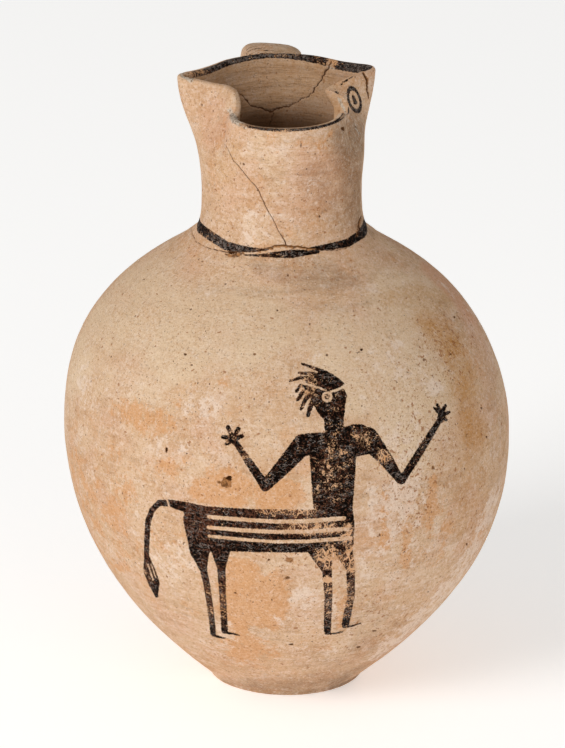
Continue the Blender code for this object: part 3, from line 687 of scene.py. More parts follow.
# Surface marks that the clay's finish reads: blots as (right, up, half width, half height, strength),
# and smears as (softness, strength, stroke of (right, up, half width) stations)
blots = {
    "ochre": [
        (26, 76, 9, 24, 0.35), (-59.3, -18.6, 8, 8, 0.3), (45, -20, 7, 10, 0.1), (38, -42, 8, 8, 0.2),
        (20, 84, 12, 12, 0.2), (-14, 70, 10, 12, 0.35), (-22, 84, 8, 16, 0.4), (-66, 20, 10, 12, 0.15),
        (65, 10, 6, 8, 0.8), (16, 60, 14, 8, 0.3),
    ],
    "orange": [
        (-25, -3, 3.5, 3, 0.8), (-43.5, -12, 3, 3, 0.8), (-19, -88, 9, 18, 1.9), (-7, -90, 10, 14, 1.5),
        (-16, -108, 14, 8, 1.0), (22, -92, 5, 11, 0.8), (-50, -70, 12, 12, 0.4), (-24, -46, 15, 8, 1.9),
        (-4, -48, 12, 7, 1.9), (-66, -50, 8, 16, 0.8), (4, 92, 22, 6, 0.4), (40, -34, 6, 5, 0.5),
        (-70, -40, 8, 14, 0.5), (-30, -60, 5, 8, 0.4), (58, -60, 12, 16, 0.5), (-48, -38, 12, 6, 0.6),
    ],
    "whitish": [
        (-47, -29, 13, 7, 0.85), (7, -89, 9, 7, 1.2), (17, -92, 4, 7, 0.9), (57.5, -5, 6, 5, 1.3),
        # the blot at (-66, -5), near the left edge, is a painted highlight
        (73, 24.5, 4, 2, 0.8), (-66, -5, 8, 10, 0.45), (46, -68, 16, 16, 0.75), (-46, -74, 13, 12, 0.85),
        (-2, -98, 10, 5, 0.7), (44, -50, 13, 11, 1.15), (-30, 30.5, 5, 2.5, 0.8), (33, 32.5, 5, 3, 1.0),
        (-60, -60, 14, 10, 0.5), (42, 4, 18, 13, 0.72), (14, 9, 14, 8, 0.5), (-32, 10, 12, 8, 0.4),
        (46, -26, 15, 17, 0.8), (-33, -13, 11, 8, 0.95), (31, -10, 2, 1.4, 1.0), (-10, 58, 20, 10, 0.7),
        (4, 76, 14, 10, 0.5), (-80, -2, 4, 14, 0.9), (40, -96, 16, 10, 0.35), (-26, -103, 10, 8, 0.8),
        (31, -76, 6, 8, 0.9), (12, -110, 14, 6, 0.6), (44, 34, 14, 8, 0.4),
    ],
    "pink": [
        (2, -80, 8, 6, 0.4), (-42, -32, 9, 6, 0.4), (-28, 98, 9, 14, 0.7), (14, 76, 18, 20, 0.7),
        (-66, 30, 8, 8, 0.3), (-4, 38, 16, 5, 0.5),
    ],
    # darker marks, mostly painted shade round the foot, on the lower right of the belly, down the right of
    # the neck and under the neck, with some soot
    "shadeAndSoot": [
        (29, 96, 6, 10, 0.5), (-30, 62, 5, 14, 0.2), (38, -100, 24, 18, 0.3), (18, -116, 20, 9, 0.35),
        (34, -108, 16, 10, 0.4),
    ],
    "wiped": [
        (4, 78, 30, 24, 1.0), (40, -60, 24, 30, 0.5), (0, -100, 50, 14, 0.6), (10, 36, 50, 10, 0.5),
        (60, 20, 16, 16, 0.5),
    ],
    # pale clay tone, partly painted light: the upper body made lighter where the light falls on it
    "stone": [
        (-60, 26, 34, 26, 1.0), (-20, 18, 36, 26, 0.9), (38, 6, 26, 24, 1.0), (46, 30, 22, 14, 0.9),
        (-56, -4, 30, 16, 0.6), (46, -14, 16, 20, 1.1), (20, 10, 14, 18, 1.1), (60, -10, 10, 16, 1.0),
        (26, -8, 10, 12, 1.2), (-44, 8, 18, 16, 1.3), (46, -30, 14, 16, 1.1), (-84, 6, 10, 16, 1.2),
    ],
    "speckle": [
        (64, 12, 8, 9, 1.4), (52, -36, 18, 40, 1.0), (30, -96, 24, 16, 0.6), (2, -72, 12, 8, 0.7),
        (62, 6, 14, 26, 0.8), (-26, 66, 10, 30, 0.1),
    ],
    "wear": [
        (18, -38, 9, 16, 0.36), (18.4, -13, 6, 10, 0.22), (30, -26, 6, 6, 0.42), (38, -33, 4, 4, 0.6),
        (16, -73, 7, 7, 0.60), (26, -74, 6, 8, 0.62), (24, -64, 4, 6, 0.6), (10, -61, 14, 4.5, 0.56),
        (16.5, -81.5, 3.0, 1.6, 1.0), (17, -92, 4, 10, 0.38), (25, -88, 4, 10, 0.42),
        (-16, -33, 5, 6, 0.35), (-6, -54, 9, 3, 0.5), (2, -47, 12, 3, 0.46), (6, -54.5, 10, 3, 0.5),
        (-33, -92, 5, 12, 0.35), (-24, -90, 4, 12, 0.35), (27, 108, 5, 8, 0.1), (-2, 97, 14, 5, 0.3),
        (-16, 100, 8, 6, 0.45), (13, 124, 4, 4, 0.3), (-36, 118, 8, 4, 0.45), (18, 122, 3, 5, 0.7),
        (38, 118, 5, 4, 0.4), (54, -28, 3, 6, 0.3), (8, -4, 6, 12, 0.42), (13, -62, 14, 3, 0.56),
        (-22, -25, 5, 4, 0.3), (-55, -80, 3, 7, 0.25), (0, 126, 12, 2, 0.3), (6, -8, 8, 12, 0.3),
        (-28, 54, 8, 4, 0.2), (-8, 47, 6, 3, 0.35),
    ],
    "thin": [
        (-34, -56, 12, 14, 1.0), (-6, -56, 26, 12, 0.75), (-30, -84, 8, 20, 0.7), (-55, -62, 8, 30, 0.6),
        (20, -85, 12, 16, 0.4),
    ],
    # grey over the paint, partly dust and partly a painted sheen, mostly on the rim and neck bands
    "dustAndSheen": [
        (-24, 121, 16, 7, 1.0), (-4, 127, 22, 5, 1.0), (30, 121, 12, 6, 0.8), (-24, 51, 14, 5, 0.8),
        (4, 96, 22, 5, 0.8), (25, 107, 7, 9, 0.7), (21, -90, 12, 8, 0.5), (-30, -6, 6, 6, 0.4),
    ],
    "innerShade": [(-10, 97, 12, 8, 1.0), (6, 95, 14, 6, 0.6), (-22, 106, 6, 8, 0.5)],
}
smears = {
    "ochre": [
        (9.0, 0.68, [(55, 22, 0.5), (60, 17, 1), (64, 10, 1), (68, 1, 1.5), (71, -12, 1), (74.5, -27, 1)]),
        (7.0, 0.35, [(74, -27, 2), (74, -44, 3), (68, -60, 3)]),
        (5.0, 0.45, [(40, 29, 2), (52, 31, 2.5), (60, 28, 3)]),
        (4.0, 0.35, [(-21, 92, 0.5), (-18, 80, 1), (-10, 66, 1)]),
    ],
    "orange": [
        (4.0, 1.0, [(-66, -15, 2), (-56, -18, 4), (-48, -21, 3)]),
        (5.0, 0.6, [(-84, -34, 2), (-78, -56, 3), (-66, -74, 3)]),
        (2.2, 1.4, [(38.5, -48, 0.5), (39, -68, 0.8)]), (2.2, 1.2, [(48.5, -50, 0.5), (47, -76, 0.8)]),
        (2.0, 1.4, [(58, -42, 0.4), (57, -60, 0.6)]),
    ],
    "pink": [
        (4.2, 1.3, [(56, 42, 1), (62, 37, 1.5), (69, 30, 1.5), (74, 22, 1)]),
        (4.0, 0.5, [(72, 22, 2), (77, 8, 2), (80, -4, 1)]),
    ],
    # painted shade under the neck, down the right of the neck, along the right side and round the foot, with
    # some soot and thin dark lines
    "shadeAndSoot": [
        (7.0, 0.48, [(-10, 43, 2), (4, 40, 4), (16, 38, 4), (26, 37, 1)]),
        (0.8, 0.5, [(-4, 22, 0.3), (2.8, 21, 0.2)]),
        (0.9, 0.35, [(51, 26.6, 0.1), (60, 24.8, 0.2), (66, 20, 0.1)]),
        (0.9, 0.30, [(55, 22.6, 0.1), (63, 19, 0.2), (68.4, 13, 0.1)]),
        (0.8, 0.35, [(46, 30, 0.1), (56, 29.8, 0.1), (62, 27, 0.1)]),
        (3.0, 0.25, [(80, 6, 2), (84, -20, 2), (82, -44, 2)]),
        (14.0, 0.78, [(26, 94, 3), (29, 79, 3), (31, 64, 3)]), (13.0, 0.42, [(12, 76, 2), (25, 62, 2)]),
        (3.0, 0.3, [(-34, 34, 0.5), (-8, 31, 1), (12, 33, 0.5)]),
        (2.5, 0.3, [(4, 27, 0.5), (22, 25, 1), (36, 28, 0.5)]),
        (9.0, 0.62, [(-28, -125, 1), (0, -127, 3), (26, -124, 3), (34, -119, 1)]),
        (8.0, 0.85, [(20, -125, 2), (31, -121, 2)]),
    ],
    "whitish": [
        # painted highlight along a ridge on the right shoulder
        (0.7, 0.9, [(59.4, 36.6, 0.1), (63, 33.4, 0.2), (66, 29.5, 0.1)]),
        (0.6, 0.8, [(24.8, -6.6, 0.1), (29.6, -11.6, 0.1)]),
        # painted reflection of the bright surroundings along the lower right edge
        (6.0, 1.1, [(84, -48, 1), (78, -66, 2), (66, -84, 2), (50, -100, 1), (36, -112, 1)]),
        (2.6, 1.1, [(33, -44, 0.5), (34, -64, 1)]), (2.4, 1.0, [(45, -48, 0.5), (43, -72, 1)]),
        (2.4, 0.9, [(53, -36, 0.5), (51, -58, 1)]),
    ],
}
marks = {"blotCore": 0.35, "blotFade": 0.95, "sideFade": 0.25, "darkDepth": 0.06}


def markShare(name, u, v):
    share = np.zeros(len(u))
    for right, up, halfU, halfV, strength in blots[name]:
        q = np.hypot((u - right) / halfU, (v - up) / halfV)
        share = np.maximum(share, strength * (1 - smooth((q - marks["blotCore"]) / marks["blotFade"])))
    for softness, strength, stroke in smears.get(name, []):
        share = np.maximum(share, strength * (1 - smooth(strokeDistance(u, v, stroke) / softness)))
    return share


def carving(found):  # depth in metres that is gone from the surface
    depths = [found["hole"], found["pit"]]
    for name, deep, edge, softness in damage["carved"]:
        depths.append(deep * (1 - smooth((found[name] + edge) / softness)))
    return np.maximum.reduce(depths) * millimetre


def meshFrom(name, points, faces):
    mesh = bpy.data.meshes.new(name)
    mesh.from_pydata(points.tolist(), [], faces)
    return mesh


def addValues(mesh, name, values):
    layer = mesh.attributes.new(name, "FLOAT", "POINT")
    layer.data.foreach_set("value", np.asarray(values, dtype=np.float32))


def wallMesh():
    toEye = facing(wallTurn, wallWay)
    mesh = meshFrom("thrownWall", found["points"], wallFaces)
    for name in ("ink", "crack", "plaster", "raw", "hole", "dark"):
        addValues(mesh, name, found[name])
    addValues(mesh, "carve", carving(found))
    addValues(mesh, "within", np.clip((rimWay - wallWay) / marks["darkDepth"], 0, 1))
    outside, everywhere = wallWay > rimWay, np.ones(len(wallWay), bool)
    there = {"innerShade": ~outside, "wear": everywhere, "thin": everywhere, "dustAndSheen": everywhere}
    for name in blots:
        share = markShare(name, found["u"], found["v"]) * there.get(name, outside)
        addValues(mesh, name, share * smooth(toEye / marks["sideFade"]))
    bm = bmesh.new()
    bm.from_mesh(mesh)
    poles = [vert for vert in bm.verts if math.hypot(vert.co.x, vert.co.y) < sheet["poleRadius"]]
    bmesh.ops.remove_doubles(bm, verts=poles, dist=1e-6)
    bm.to_mesh(mesh)
    bm.free()
    return mesh


# Small helpers for node trees
def linked(tree, socket, value):
    if isinstance(value, bpy.types.NodeSocket):
        tree.links.new(value, socket)
    elif value is not None:
        socket.default_value = value


def addNode(tree, kind, inputs=None, **settings):
    node = tree.nodes.new(kind)
    for key, value in settings.items():
        setattr(node, key, value)
    for key, value in (inputs or {}).items():
        linked(tree, node.inputs[key], value)
    return node


def mathsIn(tree):
    def maths(operation, a, b=None):
        return addNode(tree, "ShaderNodeMath", {0: a, 1: b}, operation=operation).outputs[0]
    return maths


def geometryTree(name, sizes):
    tree = bpy.data.node_groups.new(name, "GeometryNodeTree")
    tree.interface.new_socket("Geometry", in_out="INPUT", socket_type="NodeSocketGeometry")
    tree.interface.new_socket("Geometry", in_out="OUTPUT", socket_type="NodeSocketGeometry")
    for label in sizes:
        tree.interface.new_socket(label, in_out="INPUT", socket_type="NodeSocketFloat")
    tree.interface.new_socket("Clay", in_out="INPUT", socket_type="NodeSocketMaterial")
    return tree, tree.nodes.new("NodeGroupInput"), tree.nodes.new("NodeGroupOutput")


def finishTree(tree, given, result, geometry):
    whole = addNode(tree, "GeometryNodeRealizeInstances", {0: geometry}).outputs[0]
    dressing = {"Geometry": whole, "Material": given.outputs["Clay"]}
    dressed = addNode(tree, "GeometryNodeSetMaterial", dressing).outputs[0]
    tree.links.new(dressed, result.inputs[0])


def pushedOut(tree, geometry, height):  # moves the surface along its own normal
    normal = tree.nodes.new("GeometryNodeInputNormal").outputs[0]
    along = addNode(tree, "ShaderNodeVectorMath", {0: normal, "Scale": height}, operation="SCALE").outputs[0]
    return addNode(tree, "GeometryNodeSetPosition", {"Geometry": geometry, "Offset": along}).outputs[0]


def applied(obj, modifier):  # the plain mesh that comes out of a modifier
    bpy.context.view_layer.update()
    mesh = bpy.data.meshes.new_from_object(obj.evaluated_get(bpy.context.evaluated_depsgraph_get()))
    obj.modifiers.remove(modifier)
    return mesh


def runTree(obj, tree, values):
    modifier = obj.modifiers.new(tree.name, "NODES")
    modifier.node_group = tree
    for item in tree.interface.items_tree:
        if item.in_out == "INPUT" and item.name in values:
            modifier[item.identifier] = values[item.name]
    return applied(obj, modifier)


# Marks of the potter's hands: fine turning ridges, slow unevenness, and whatever has broken away
thrownSurface = {"Ridge Height": 0.00018, "Ridge Spacing": 0.0034, "Lump Height": 0.0007, "Lump Size": 0.034,
                 "Grain Height": 0.00016, "Grain Size": 0.0035}


def thrownSurfaceTree():
    tree, given, result = geometryTree("thrownSurface", thrownSurface)
    maths = mathsIn(tree)
    place = tree.nodes.new("GeometryNodeInputPosition").outputs[0]

    def rough(size, height, stretch, seed):
        offset = addNode(tree, "ShaderNodeVectorMath", {0: place, 1: (seed, seed, seed)}, operation="ADD")
        flat = addNode(tree, "ShaderNodeVectorMath", {0: offset.outputs[0], 1: stretch}, operation="MULTIPLY")
        looks = {"Vector": flat.outputs[0], "Scale": maths("DIVIDE", 1.0, given.outputs[size]), "Detail": 2.0}
        noise = addNode(tree, "ShaderNodeTexNoise", looks).outputs[0]
        return maths("MULTIPLY", maths("SUBTRACT", noise, 0.5), given.outputs[height])

    ridges = rough("Ridge Spacing", "Ridge Height", (0.06, 0.06, 1.0), 3.0)
    lumps = rough("Lump Size", "Lump Height", (1.0, 1.0, 1.0), 7.0)
    grain = rough("Grain Size", "Grain Height", (1.0, 1.0, 1.0), 5.0)
    carve = addNode(tree, "GeometryNodeInputNamedAttribute", {"Name": "carve"}, data_type="FLOAT").outputs[0]
    height = maths("SUBTRACT", maths("ADD", maths("ADD", ridges, lumps), grain), carve)
    finishTree(tree, given, result, pushedOut(tree, given.outputs[0], height))
    return tree


# The strap, along a path from inside the rim, out over its bend and down into the shoulder
strap = {
    "width": 0.0229, "thickness": 0.0086, "squareness": 0.75, "sideShift": 0.0014, "sink": 0.0004,
    "riseAngle": math.radians(24.0), "reach": 0.0670, "bendDepth": 0.0300, "footDepth": 0.0860,
    "footAngle": math.radians(68.0), "risePull": 0.52, "bendPull": 0.48, "dropPull": 0.36,
    "tilt": math.radians(7.5), "rings": 110, "sides": 40, "lumpHeight": 0.0012, "lumpScale": 90.0,
    "jointReach": 0.0035, "jointPasses": 14, "jointPull": 0.6, "behind": 0.02, "above": 0.14,
    "coreSides": 96, "coreRings": 90, "coreAbove": 0.012,
}


def strapPath():
    inside = 2 * wall["rimWall"]
    rimHeight = rimZ - strap["thickness"] / 2 - strap["sink"] - inside * math.tan(strap["riseAngle"])
    footZ = rimZ - strap["footDepth"]
    across = strap["sideShift"] - wall["neckLean"]
    rimEnd = Vector((across, wall["mouthRadius"] - inside, rimHeight))
    bend = Vector((across, strap["reach"], rimZ - strap["bendDepth"]))
    footEnd = Vector((across, float(outerRadiusAt(footZ)) - 2 * wall["bodyWall"], footZ))
    rising = Vector((0, math.cos(strap["riseAngle"]), math.sin(strap["riseAngle"])))
    landing = Vector((0, -math.cos(strap["footAngle"]), -math.sin(strap["footAngle"])))
    upper, lower = (bend - rimEnd).length, (footEnd - bend).length * strap["dropPull"]
    curve = bpy.data.curves.new("strapPath", "CURVE")
    curve.dimensions = "3D"
    spline = curve.splines.new("BEZIER")
    spline.bezier_points.add(2)
    stations = [
        (rimEnd, rising, upper * strap["risePull"], upper * strap["risePull"], strap["tilt"]),
        (bend, Vector((0, 0, -1)), upper * strap["bendPull"], lower, strap["tilt"]),
        (footEnd, landing, lower, lower, 0.0),
    ]
    for point, (place, way, before, after, tilt) in zip(spline.bezier_points, stations):
        point.handle_left_type = point.handle_right_type = "FREE"
        point.co, point.handle_left, point.handle_right = place, place - way * before, place + way * after
        point.tilt = tilt
    return objectOf("strapPath", curve)


def strapTree():
    tree, given, result = geometryTree("strapHandle", ("Width", "Thickness", "Squareness", "Lump Height"))
    maths = mathsIn(tree)
    circle = addNode(tree, "GeometryNodeCurvePrimitiveCircle", {"Resolution": strap["sides"], "Radius": 1.0})
    place = tree.nodes.new("GeometryNodeInputPosition").outputs[0]
    split = addNode(tree, "ShaderNodeSeparateXYZ", {0: place}).outputs

    def squared(value, size):
        power = maths("POWER", maths("ABSOLUTE", value), given.outputs["Squareness"])
        signed = maths("MULTIPLY", power, maths("SIGN", value))
        return maths("MULTIPLY", signed, maths("DIVIDE", given.outputs[size], 2.0))

    corner = {0: squared(split[0], "Width"), 1: squared(split[1], "Thickness")}
    corner = addNode(tree, "ShaderNodeCombineXYZ", corner).outputs[0]
    profile = {"Geometry": circle.outputs[0], "Position": corner}
    profile = addNode(tree, "GeometryNodeSetPosition", profile).outputs[0]
    path = {"Curve": given.outputs[0], "Count": strap["rings"]}
    path = addNode(tree, "GeometryNodeResampleCurve", path).outputs[0]
    tube = {"Curve": path, "Profile Curve": profile, "Fill Caps": True}
    tube = addNode(tree, "GeometryNodeCurveToMesh", tube).outputs[0]
    noise = addNode(tree, "ShaderNodeTexNoise", {"Scale": strap["lumpScale"], "Detail": 2.0}).outputs[0]
    swell = maths("MULTIPLY", maths("SUBTRACT", noise, 0.5), given.outputs["Lump Height"])
    finishTree(tree, given, result, pushedOut(tree, tube, swell))
    return tree


def objectOf(name, data):
    obj = bpy.data.objects.new(name, data)
    bpy.context.scene.collection.objects.link(obj)
    return obj


def cleaned(mesh):
    bm = bmesh.new()
    bm.from_mesh(mesh)
    bmesh.ops.remove_doubles(bm, verts=bm.verts, dist=1e-6)
    bmesh.ops.recalc_face_normals(bm, faces=bm.faces)
    bm.to_mesh(mesh)
    bm.free()
    return mesh


def coreMesh():  # the space inside the middle of the wall, which trims the strap's ends
    z = np.linspace(wall["floor"], rimZ, strap["coreRings"])
    sides = strap["coreSides"]
    around = np.arange(sides) / sides * math.tau
    rings = [[(radius * math.sin(a) - lean, -radius * math.cos(a), height) for a in around]
             for radius, lean, height in zip(middleRadiusAt(z), leanAt(z), z)]
    rings.append([(x, y, rimZ + strap["coreAbove"]) for x, y, _ in rings[-1]])
    points = np.array([point for ring in rings for point in ring])
    faces = []
    for low in range(0, len(points) - sides, sides):
        for i in range(sides):
            after = (i + 1) % sides
            faces.append((low + i, low + after, low + sides + after, low + sides + i))
    faces.append(list(range(sides))[::-1])
    faces.append([len(points) - sides + i for i in range(sides)])
    return cleaned(meshFrom("core", points, faces))


def combined(obj, other, operation):
    modifier = obj.modifiers.new("join", "BOOLEAN")
    modifier.operation, modifier.solver, modifier.object = operation, "EXACT", other
    obj.data = applied(obj, modifier)
    bpy.data.objects.remove(other)


def pointsOf(mesh):
    places = np.zeros(len(mesh.vertices) * 3)
    mesh.vertices.foreach_get("co", places)
    return places.reshape(-1, 3)


def onStrap(mesh, shape):  # which points of the joined mesh lie on the strap's own surface
    places = pointsOf(mesh)
    flags = np.zeros(len(places), bool)
    for k in np.nonzero((places[:, 1] > strap["behind"]) & (places[:, 2] > strap["above"]))[0]:
        distance = shape.find_nearest(Vector(places[k]), millimetre)[3]
        flags[k] = distance is not None and distance < 1e-6
    return flags


def softenJoint(mesh, flags):  # rounds the clay where the strap was pressed on to the wall
    bm = bmesh.new()
    bm.from_mesh(mesh)
    ring = [vert.co.copy() for vert in bm.verts if flags[vert.index] and not all(
        flags[edge.other_vert(vert).index] for edge in vert.link_edges)]
    ring = np.array(ring)
    near = []
    for vert in bm.verts:
        if vert.co.y > strap["behind"] and vert.co.z > strap["above"]:
            distance = np.min(np.linalg.norm(ring - np.array(vert.co), axis=1))
            if distance < strap["jointReach"]:
                near.append((vert, 1 - smooth(distance / strap["jointReach"])))
    for _ in range(strap["jointPasses"]):
        moved = []
        for vert, share in near:
            others = [edge.other_vert(vert).co for edge in vert.link_edges]
            middle = sum(others, Vector()) / len(others)
            moved.append(vert.co.lerp(middle, strap["jointPull"] * float(share)))
        for (vert, _), place in zip(near, moved):
            vert.co = place
    bm.to_mesh(mesh)
    bm.free()
    return len(ring)


# Fired clay: colours as they look in daylight, sizes of patterns in millimetres, and the bump's in metres
clay = {
    "buff": (213, 176, 141), "pale": (220, 188, 156), "rose": (213, 169, 140), "tan": (184, 136, 94),
    "ochre": (188, 130, 54), "orange": (212, 154, 102), "whitish": (236, 214, 196), "pink": (210, 152, 120),
    # the dark brown below is mostly painted shade with some soot, the stone tone partly painted light, and
    # the paint grey partly a painted sheen
    "shadeAndSoot": (104, 78, 56), "stone": (226, 200, 168), "umber": (158, 120, 84), "plaster": (212, 200, 184),
    "paint": (8, 4, 2), "paintBrown": (108, 68, 50), "paintGrey": (146, 134, 126),
    "raw": (170, 116, 66), "crack": (80, 48, 24), "grit": (86, 54, 32), "redGrit": (154, 96, 50),
    # within and deep are painted shade for the inside of the mouth and neck
    "within": (184, 142, 100), "deep": (84, 54, 32),
    "cloud": 26.0, "wipe": 2.1, "grain": 0.8, "crumb": 1.8, "wheel": 3.2, "crazing": 2.3, "edge": 0.9,
    "bump": 0.0006, "bumpStrength": 0.8, "specular": 0.03,
    # colour, size, seed, where it starts and is full, strength
    "patches": [
        ("tan", 14.0, 4.1, 0.51, 0.58, 0.38), ("whitish", 9.0, 8.8, 0.55, 0.60, 0.42),
        ("orange", 17.0, 6.2, 0.54, 0.62, 0.42), ("tan", 4.0, 47.0, 0.54, 0.58, 0.36),
        ("whitish", 3.2, 48.0, 0.55, 0.59, 0.36),
    ],
    "crusts": [("orange", 7.0, 36.0, 0.40, 0.50, 0.75), ("whitish", 4.5, 41.0, 0.46, 0.53, 0.72)],
    # colour, crumble, strength
    "stains": [("stone", 0.8, 0.72), ("pink", 1.2, 0.6), ("ochre", 1.7, 0.95), ("shadeAndSoot", 1.2, 0.8)],
    # colour, size, seed, start, full, strength, and how much more of it where the clay is speckled
    "specks": [
        ("grit", 1.2, 12.0, 0.735, 0.76, 0.9, 0.0), ("grit", 0.7, 33.0, 0.72, 0.76, 0.66, 0.02),
        ("whitish", 0.9, 44.0, 0.68, 0.72, 0.45, 0.0), ("redGrit", 2.0, 21.0, 0.72, 0.75, 0.75, 0.08),
        ("redGrit", 1.0, 52.0, 0.70, 0.74, 0.7, 0.06),
    ],
}


def daylight(name):
    shares = [c / 255 for c in clay[name]]
    return tuple(c / 12.92 if c <= 10 / 255 else ((c + 0.055) / 1.055) ** 2.4 for c in shares) + (1.0,)


def newMaterial(name):
    material = bpy.data.materials.new(name)
    material.use_nodes = True
    return material, material.node_tree, material.node_tree.nodes["Principled BSDF"]


def firedClayMaterial():
    material, tree, shader = newMaterial("firedClay")
    maths = mathsIn(tree)
    place = tree.nodes.new("ShaderNodeTexCoord").outputs["Object"]

    def noise(size, detail, stretch=(1.0, 1.0, 1.0), seed=0.0, roughness=0.55):
        moved = {"Vector": place, "Location": (seed, seed * 0.7, -seed), "Scale": stretch}
        moved = addNode(tree, "ShaderNodeMapping", moved).outputs[0]
        scale = 1.0 / (size * millimetre)
        looks = {"Vector": moved, "Scale": scale, "Detail": detail, "Roughness": roughness}
        return addNode(tree, "ShaderNodeTexNoise", looks).outputs[0]

    def value(name):
        return addNode(tree, "ShaderNodeAttribute", attribute_name=name).outputs["Fac"]

    def between(amount, low, high):
        reach = {"Value": amount, "From Min": low, "From Max": high}
        return addNode(tree, "ShaderNodeMapRange", reach, interpolation_type="SMOOTHSTEP").outputs[0]

    def blend(share, first, second):
        node = addNode(tree, "ShaderNodeMix", data_type="RGBA")
        linked(tree, node.inputs["Factor"], share)
        for socket, colour in ((6, first), (7, second)):
            linked(tree, node.inputs[socket], daylight(colour) if isinstance(colour, str) else colour)
        return node.outputs[2]

    def times(a, b):
        return maths("MULTIPLY", a, b)

    def minus(a, b):
        return maths("SUBTRACT", a, b)

    def plus(a, b):
        return maths("ADD", a, b)

    def laid(colour, pattern, low, high, strength, over):  # the colour with another laid over its pattern
        return blend(times(between(pattern, low, high), strength), colour, over)

    # body of the clay: wide clouds, patches with a crumbled edge, then wiping streaks
    colour = blend(between(noise(clay["cloud"], 4.0, seed=1.3), 0.38, 0.66), "buff", "pale")
    colour = laid(colour, noise(clay["cloud"] * 0.8, 4.0, seed=9.2), 0.46, 0.70, 0.6, "rose")
    for name, size, seed, low, high, strength in clay["patches"]:
        colour = laid(colour, noise(size, 11.0, seed=seed, roughness=0.76), low, high, strength, name)
    wipe = noise(clay["wipe"], 6.0, stretch=(0.13, 0.13, 1.0), seed=2.7, roughness=0.68)
    wiped = plus(0.20, times(plus(value("wiped"), value("within")), 0.30))
    colour = laid(colour, wipe, 0.52, 0.64, wiped, "umber")
    colour = laid(colour, wipe, 0.48, 0.34, wiped, "whitish")

    # soft stains that soak in, the darkest mostly painted shade and stone partly painted light, and crusts
    # that lie on the clay in crumbs
    soaked = minus(noise(6.0, 9.0, seed=6.6, roughness=0.78), 0.5)
    for name, crumble, strength in clay["stains"]:
        share = between(plus(value(name), times(soaked, crumble)), 0.05, 1.15)
        share = times(times(share, between(value(name), 0.0, 0.25)), strength)
        colour = blend(share, colour, name)
    for name, size, seed, low, high, strength in clay["crusts"]:
        crust = noise(size, 11.0, seed=seed, roughness=0.78)
        crust = plus(crust, times(minus(value(name), 1.0), 0.16))
        there = times(between(value(name), 0.0, 0.2), strength)
        colour = laid(colour, crust, low, high, there, name)
    crumbs = noise(clay["crumb"], 6.0, seed=14.0, roughness=0.8)
    crumbled = times(between(noise(11.0, 5.0, seed=49.0, roughness=0.7), 0.40, 0.60), 0.42)
    colour = laid(colour, crumbs, 0.50, 0.60, crumbled, "tan")
    colour = laid(colour, crumbs, 0.49, 0.39, crumbled, "whitish")

    # grit: dark, rusty and pale specks, most of them where the clay is marked as speckled
    for name, size, seed, low, high, strength, more in clay["specks"]:
        spots = plus(noise(size, 1.0, seed=seed), times(value("speckle"), more))
        colour = laid(colour, spots, low, high, strength, name)
    grain = noise(clay["grain"], 4.0, seed=5.9, roughness=0.75)
    colour = laid(colour, grain, 0.50, 0.60, 0.24, "tan")
    colour = laid(colour, grain, 0.50, 0.40, 0.22, "whitish")

    # painted shade darkens the inside with its depth below the rim, then pits, chips and the dark of deep
    # holes
    within, hole = value("within"), value("hole")
    colour = laid(colour, within, 0.0, 0.08, 0.40, "within")
    colour = laid(colour, within, 0.24, 0.54, 0.85, "deep")
    colour = blend(times(value("innerShade"), 0.7), colour, "deep")
    pitted = times(between(value("carve"), 0.00010, 0.0005), minus(1.0, between(hole, 0.0, 0.1)))
    colour = blend(times(pitted, 0.8), colour, "crack")
    colour = laid(colour, hole, 0.02, 0.4, 0.85, blend(between(crumbs, 0.45, 0.58), "raw", "crack"))
    dark = plus(value("dark"), times(minus(grain, 0.5), 0.6))
    colour = laid(colour, dark, 0.1, 0.8, 0.9, "crack")

    # bare clay in the break round the neck, and plaster
    edge = times(minus(noise(clay["edge"], 4.0, seed=3.3), 0.5), 1.4)
    raw = between(plus(value("raw"), edge), 0.25, -0.15)
    broken = blend(between(noise(1.3, 4.0, seed=7.1), 0.42, 0.62), "raw", "crack")
    colour = blend(times(raw, 0.8), colour, broken)
    plaster = between(plus(value("plaster"), edge), 0.3, -0.2)
    mottled = blend(between(noise(0.9, 5.0, seed=2.2), 0.46, 0.62), "plaster", "shadeAndSoot")
    colour = blend(times(plaster, 0.75), colour, mottled)

    # brush paint with ragged edges, thin places, flakes gone and fine crazing where it is worn
    ragged = times(minus(noise(0.6, 4.0, seed=15.0, roughness=0.65), 0.5), 1.2)
    painted = between(plus(value("ink"), ragged), -0.10, 0.16)
    wear = value("wear")
    flakes = times(noise(0.62, 5.0, seed=17.0, roughness=0.72), 0.55)
    flakes = plus(flakes, times(noise(2.6, 5.0, seed=19.0, roughness=0.65), 0.45))
    limit = minus(0.61, times(maths("MINIMUM", wear, 0.45), 0.20))
    kept = minus(1.0, between(minus(flakes, limit), -0.012, 0.022))
    swayed = {"Vector": place, "Rotation": (0.0, 0.6, 0.0), "Scale": (1.0, 1.0, 0.4)}
    swayed = addNode(tree, "ShaderNodeMapping", swayed).outputs[0]
    crazing = {"Vector": swayed, "Scale": 1.0 / (clay["crazing"] * millimetre)}
    crazing = addNode(tree, "ShaderNodeTexVoronoi", crazing, feature="DISTANCE_TO_EDGE").outputs[0]
    kept = times(kept, between(minus(crazing, times(minus(wear, 0.42), 0.36)), -0.02, 0.04))
    bare = minus(1.0, times(plaster, 0.75))
    paintShare = times(times(times(painted, kept), bare), minus(1.0, times(raw, 0.9)))
    thin = plus(times(wear, 0.10), times(value("thin"), 0.07))
    brown = between(plus(noise(1.0, 6.0, seed=23.0, roughness=0.8), thin), 0.53, 0.62)
    hairs = noise(2.4, 4.0, stretch=(0.5, 0.5, 1.2), seed=26.0, roughness=0.62)
    hairs = between(maths("ABSOLUTE", minus(hairs, 0.5)), 0.016, 0.004)
    hairs = times(hairs, between(noise(5.0, 3.0, seed=30.0), 0.42, 0.52))
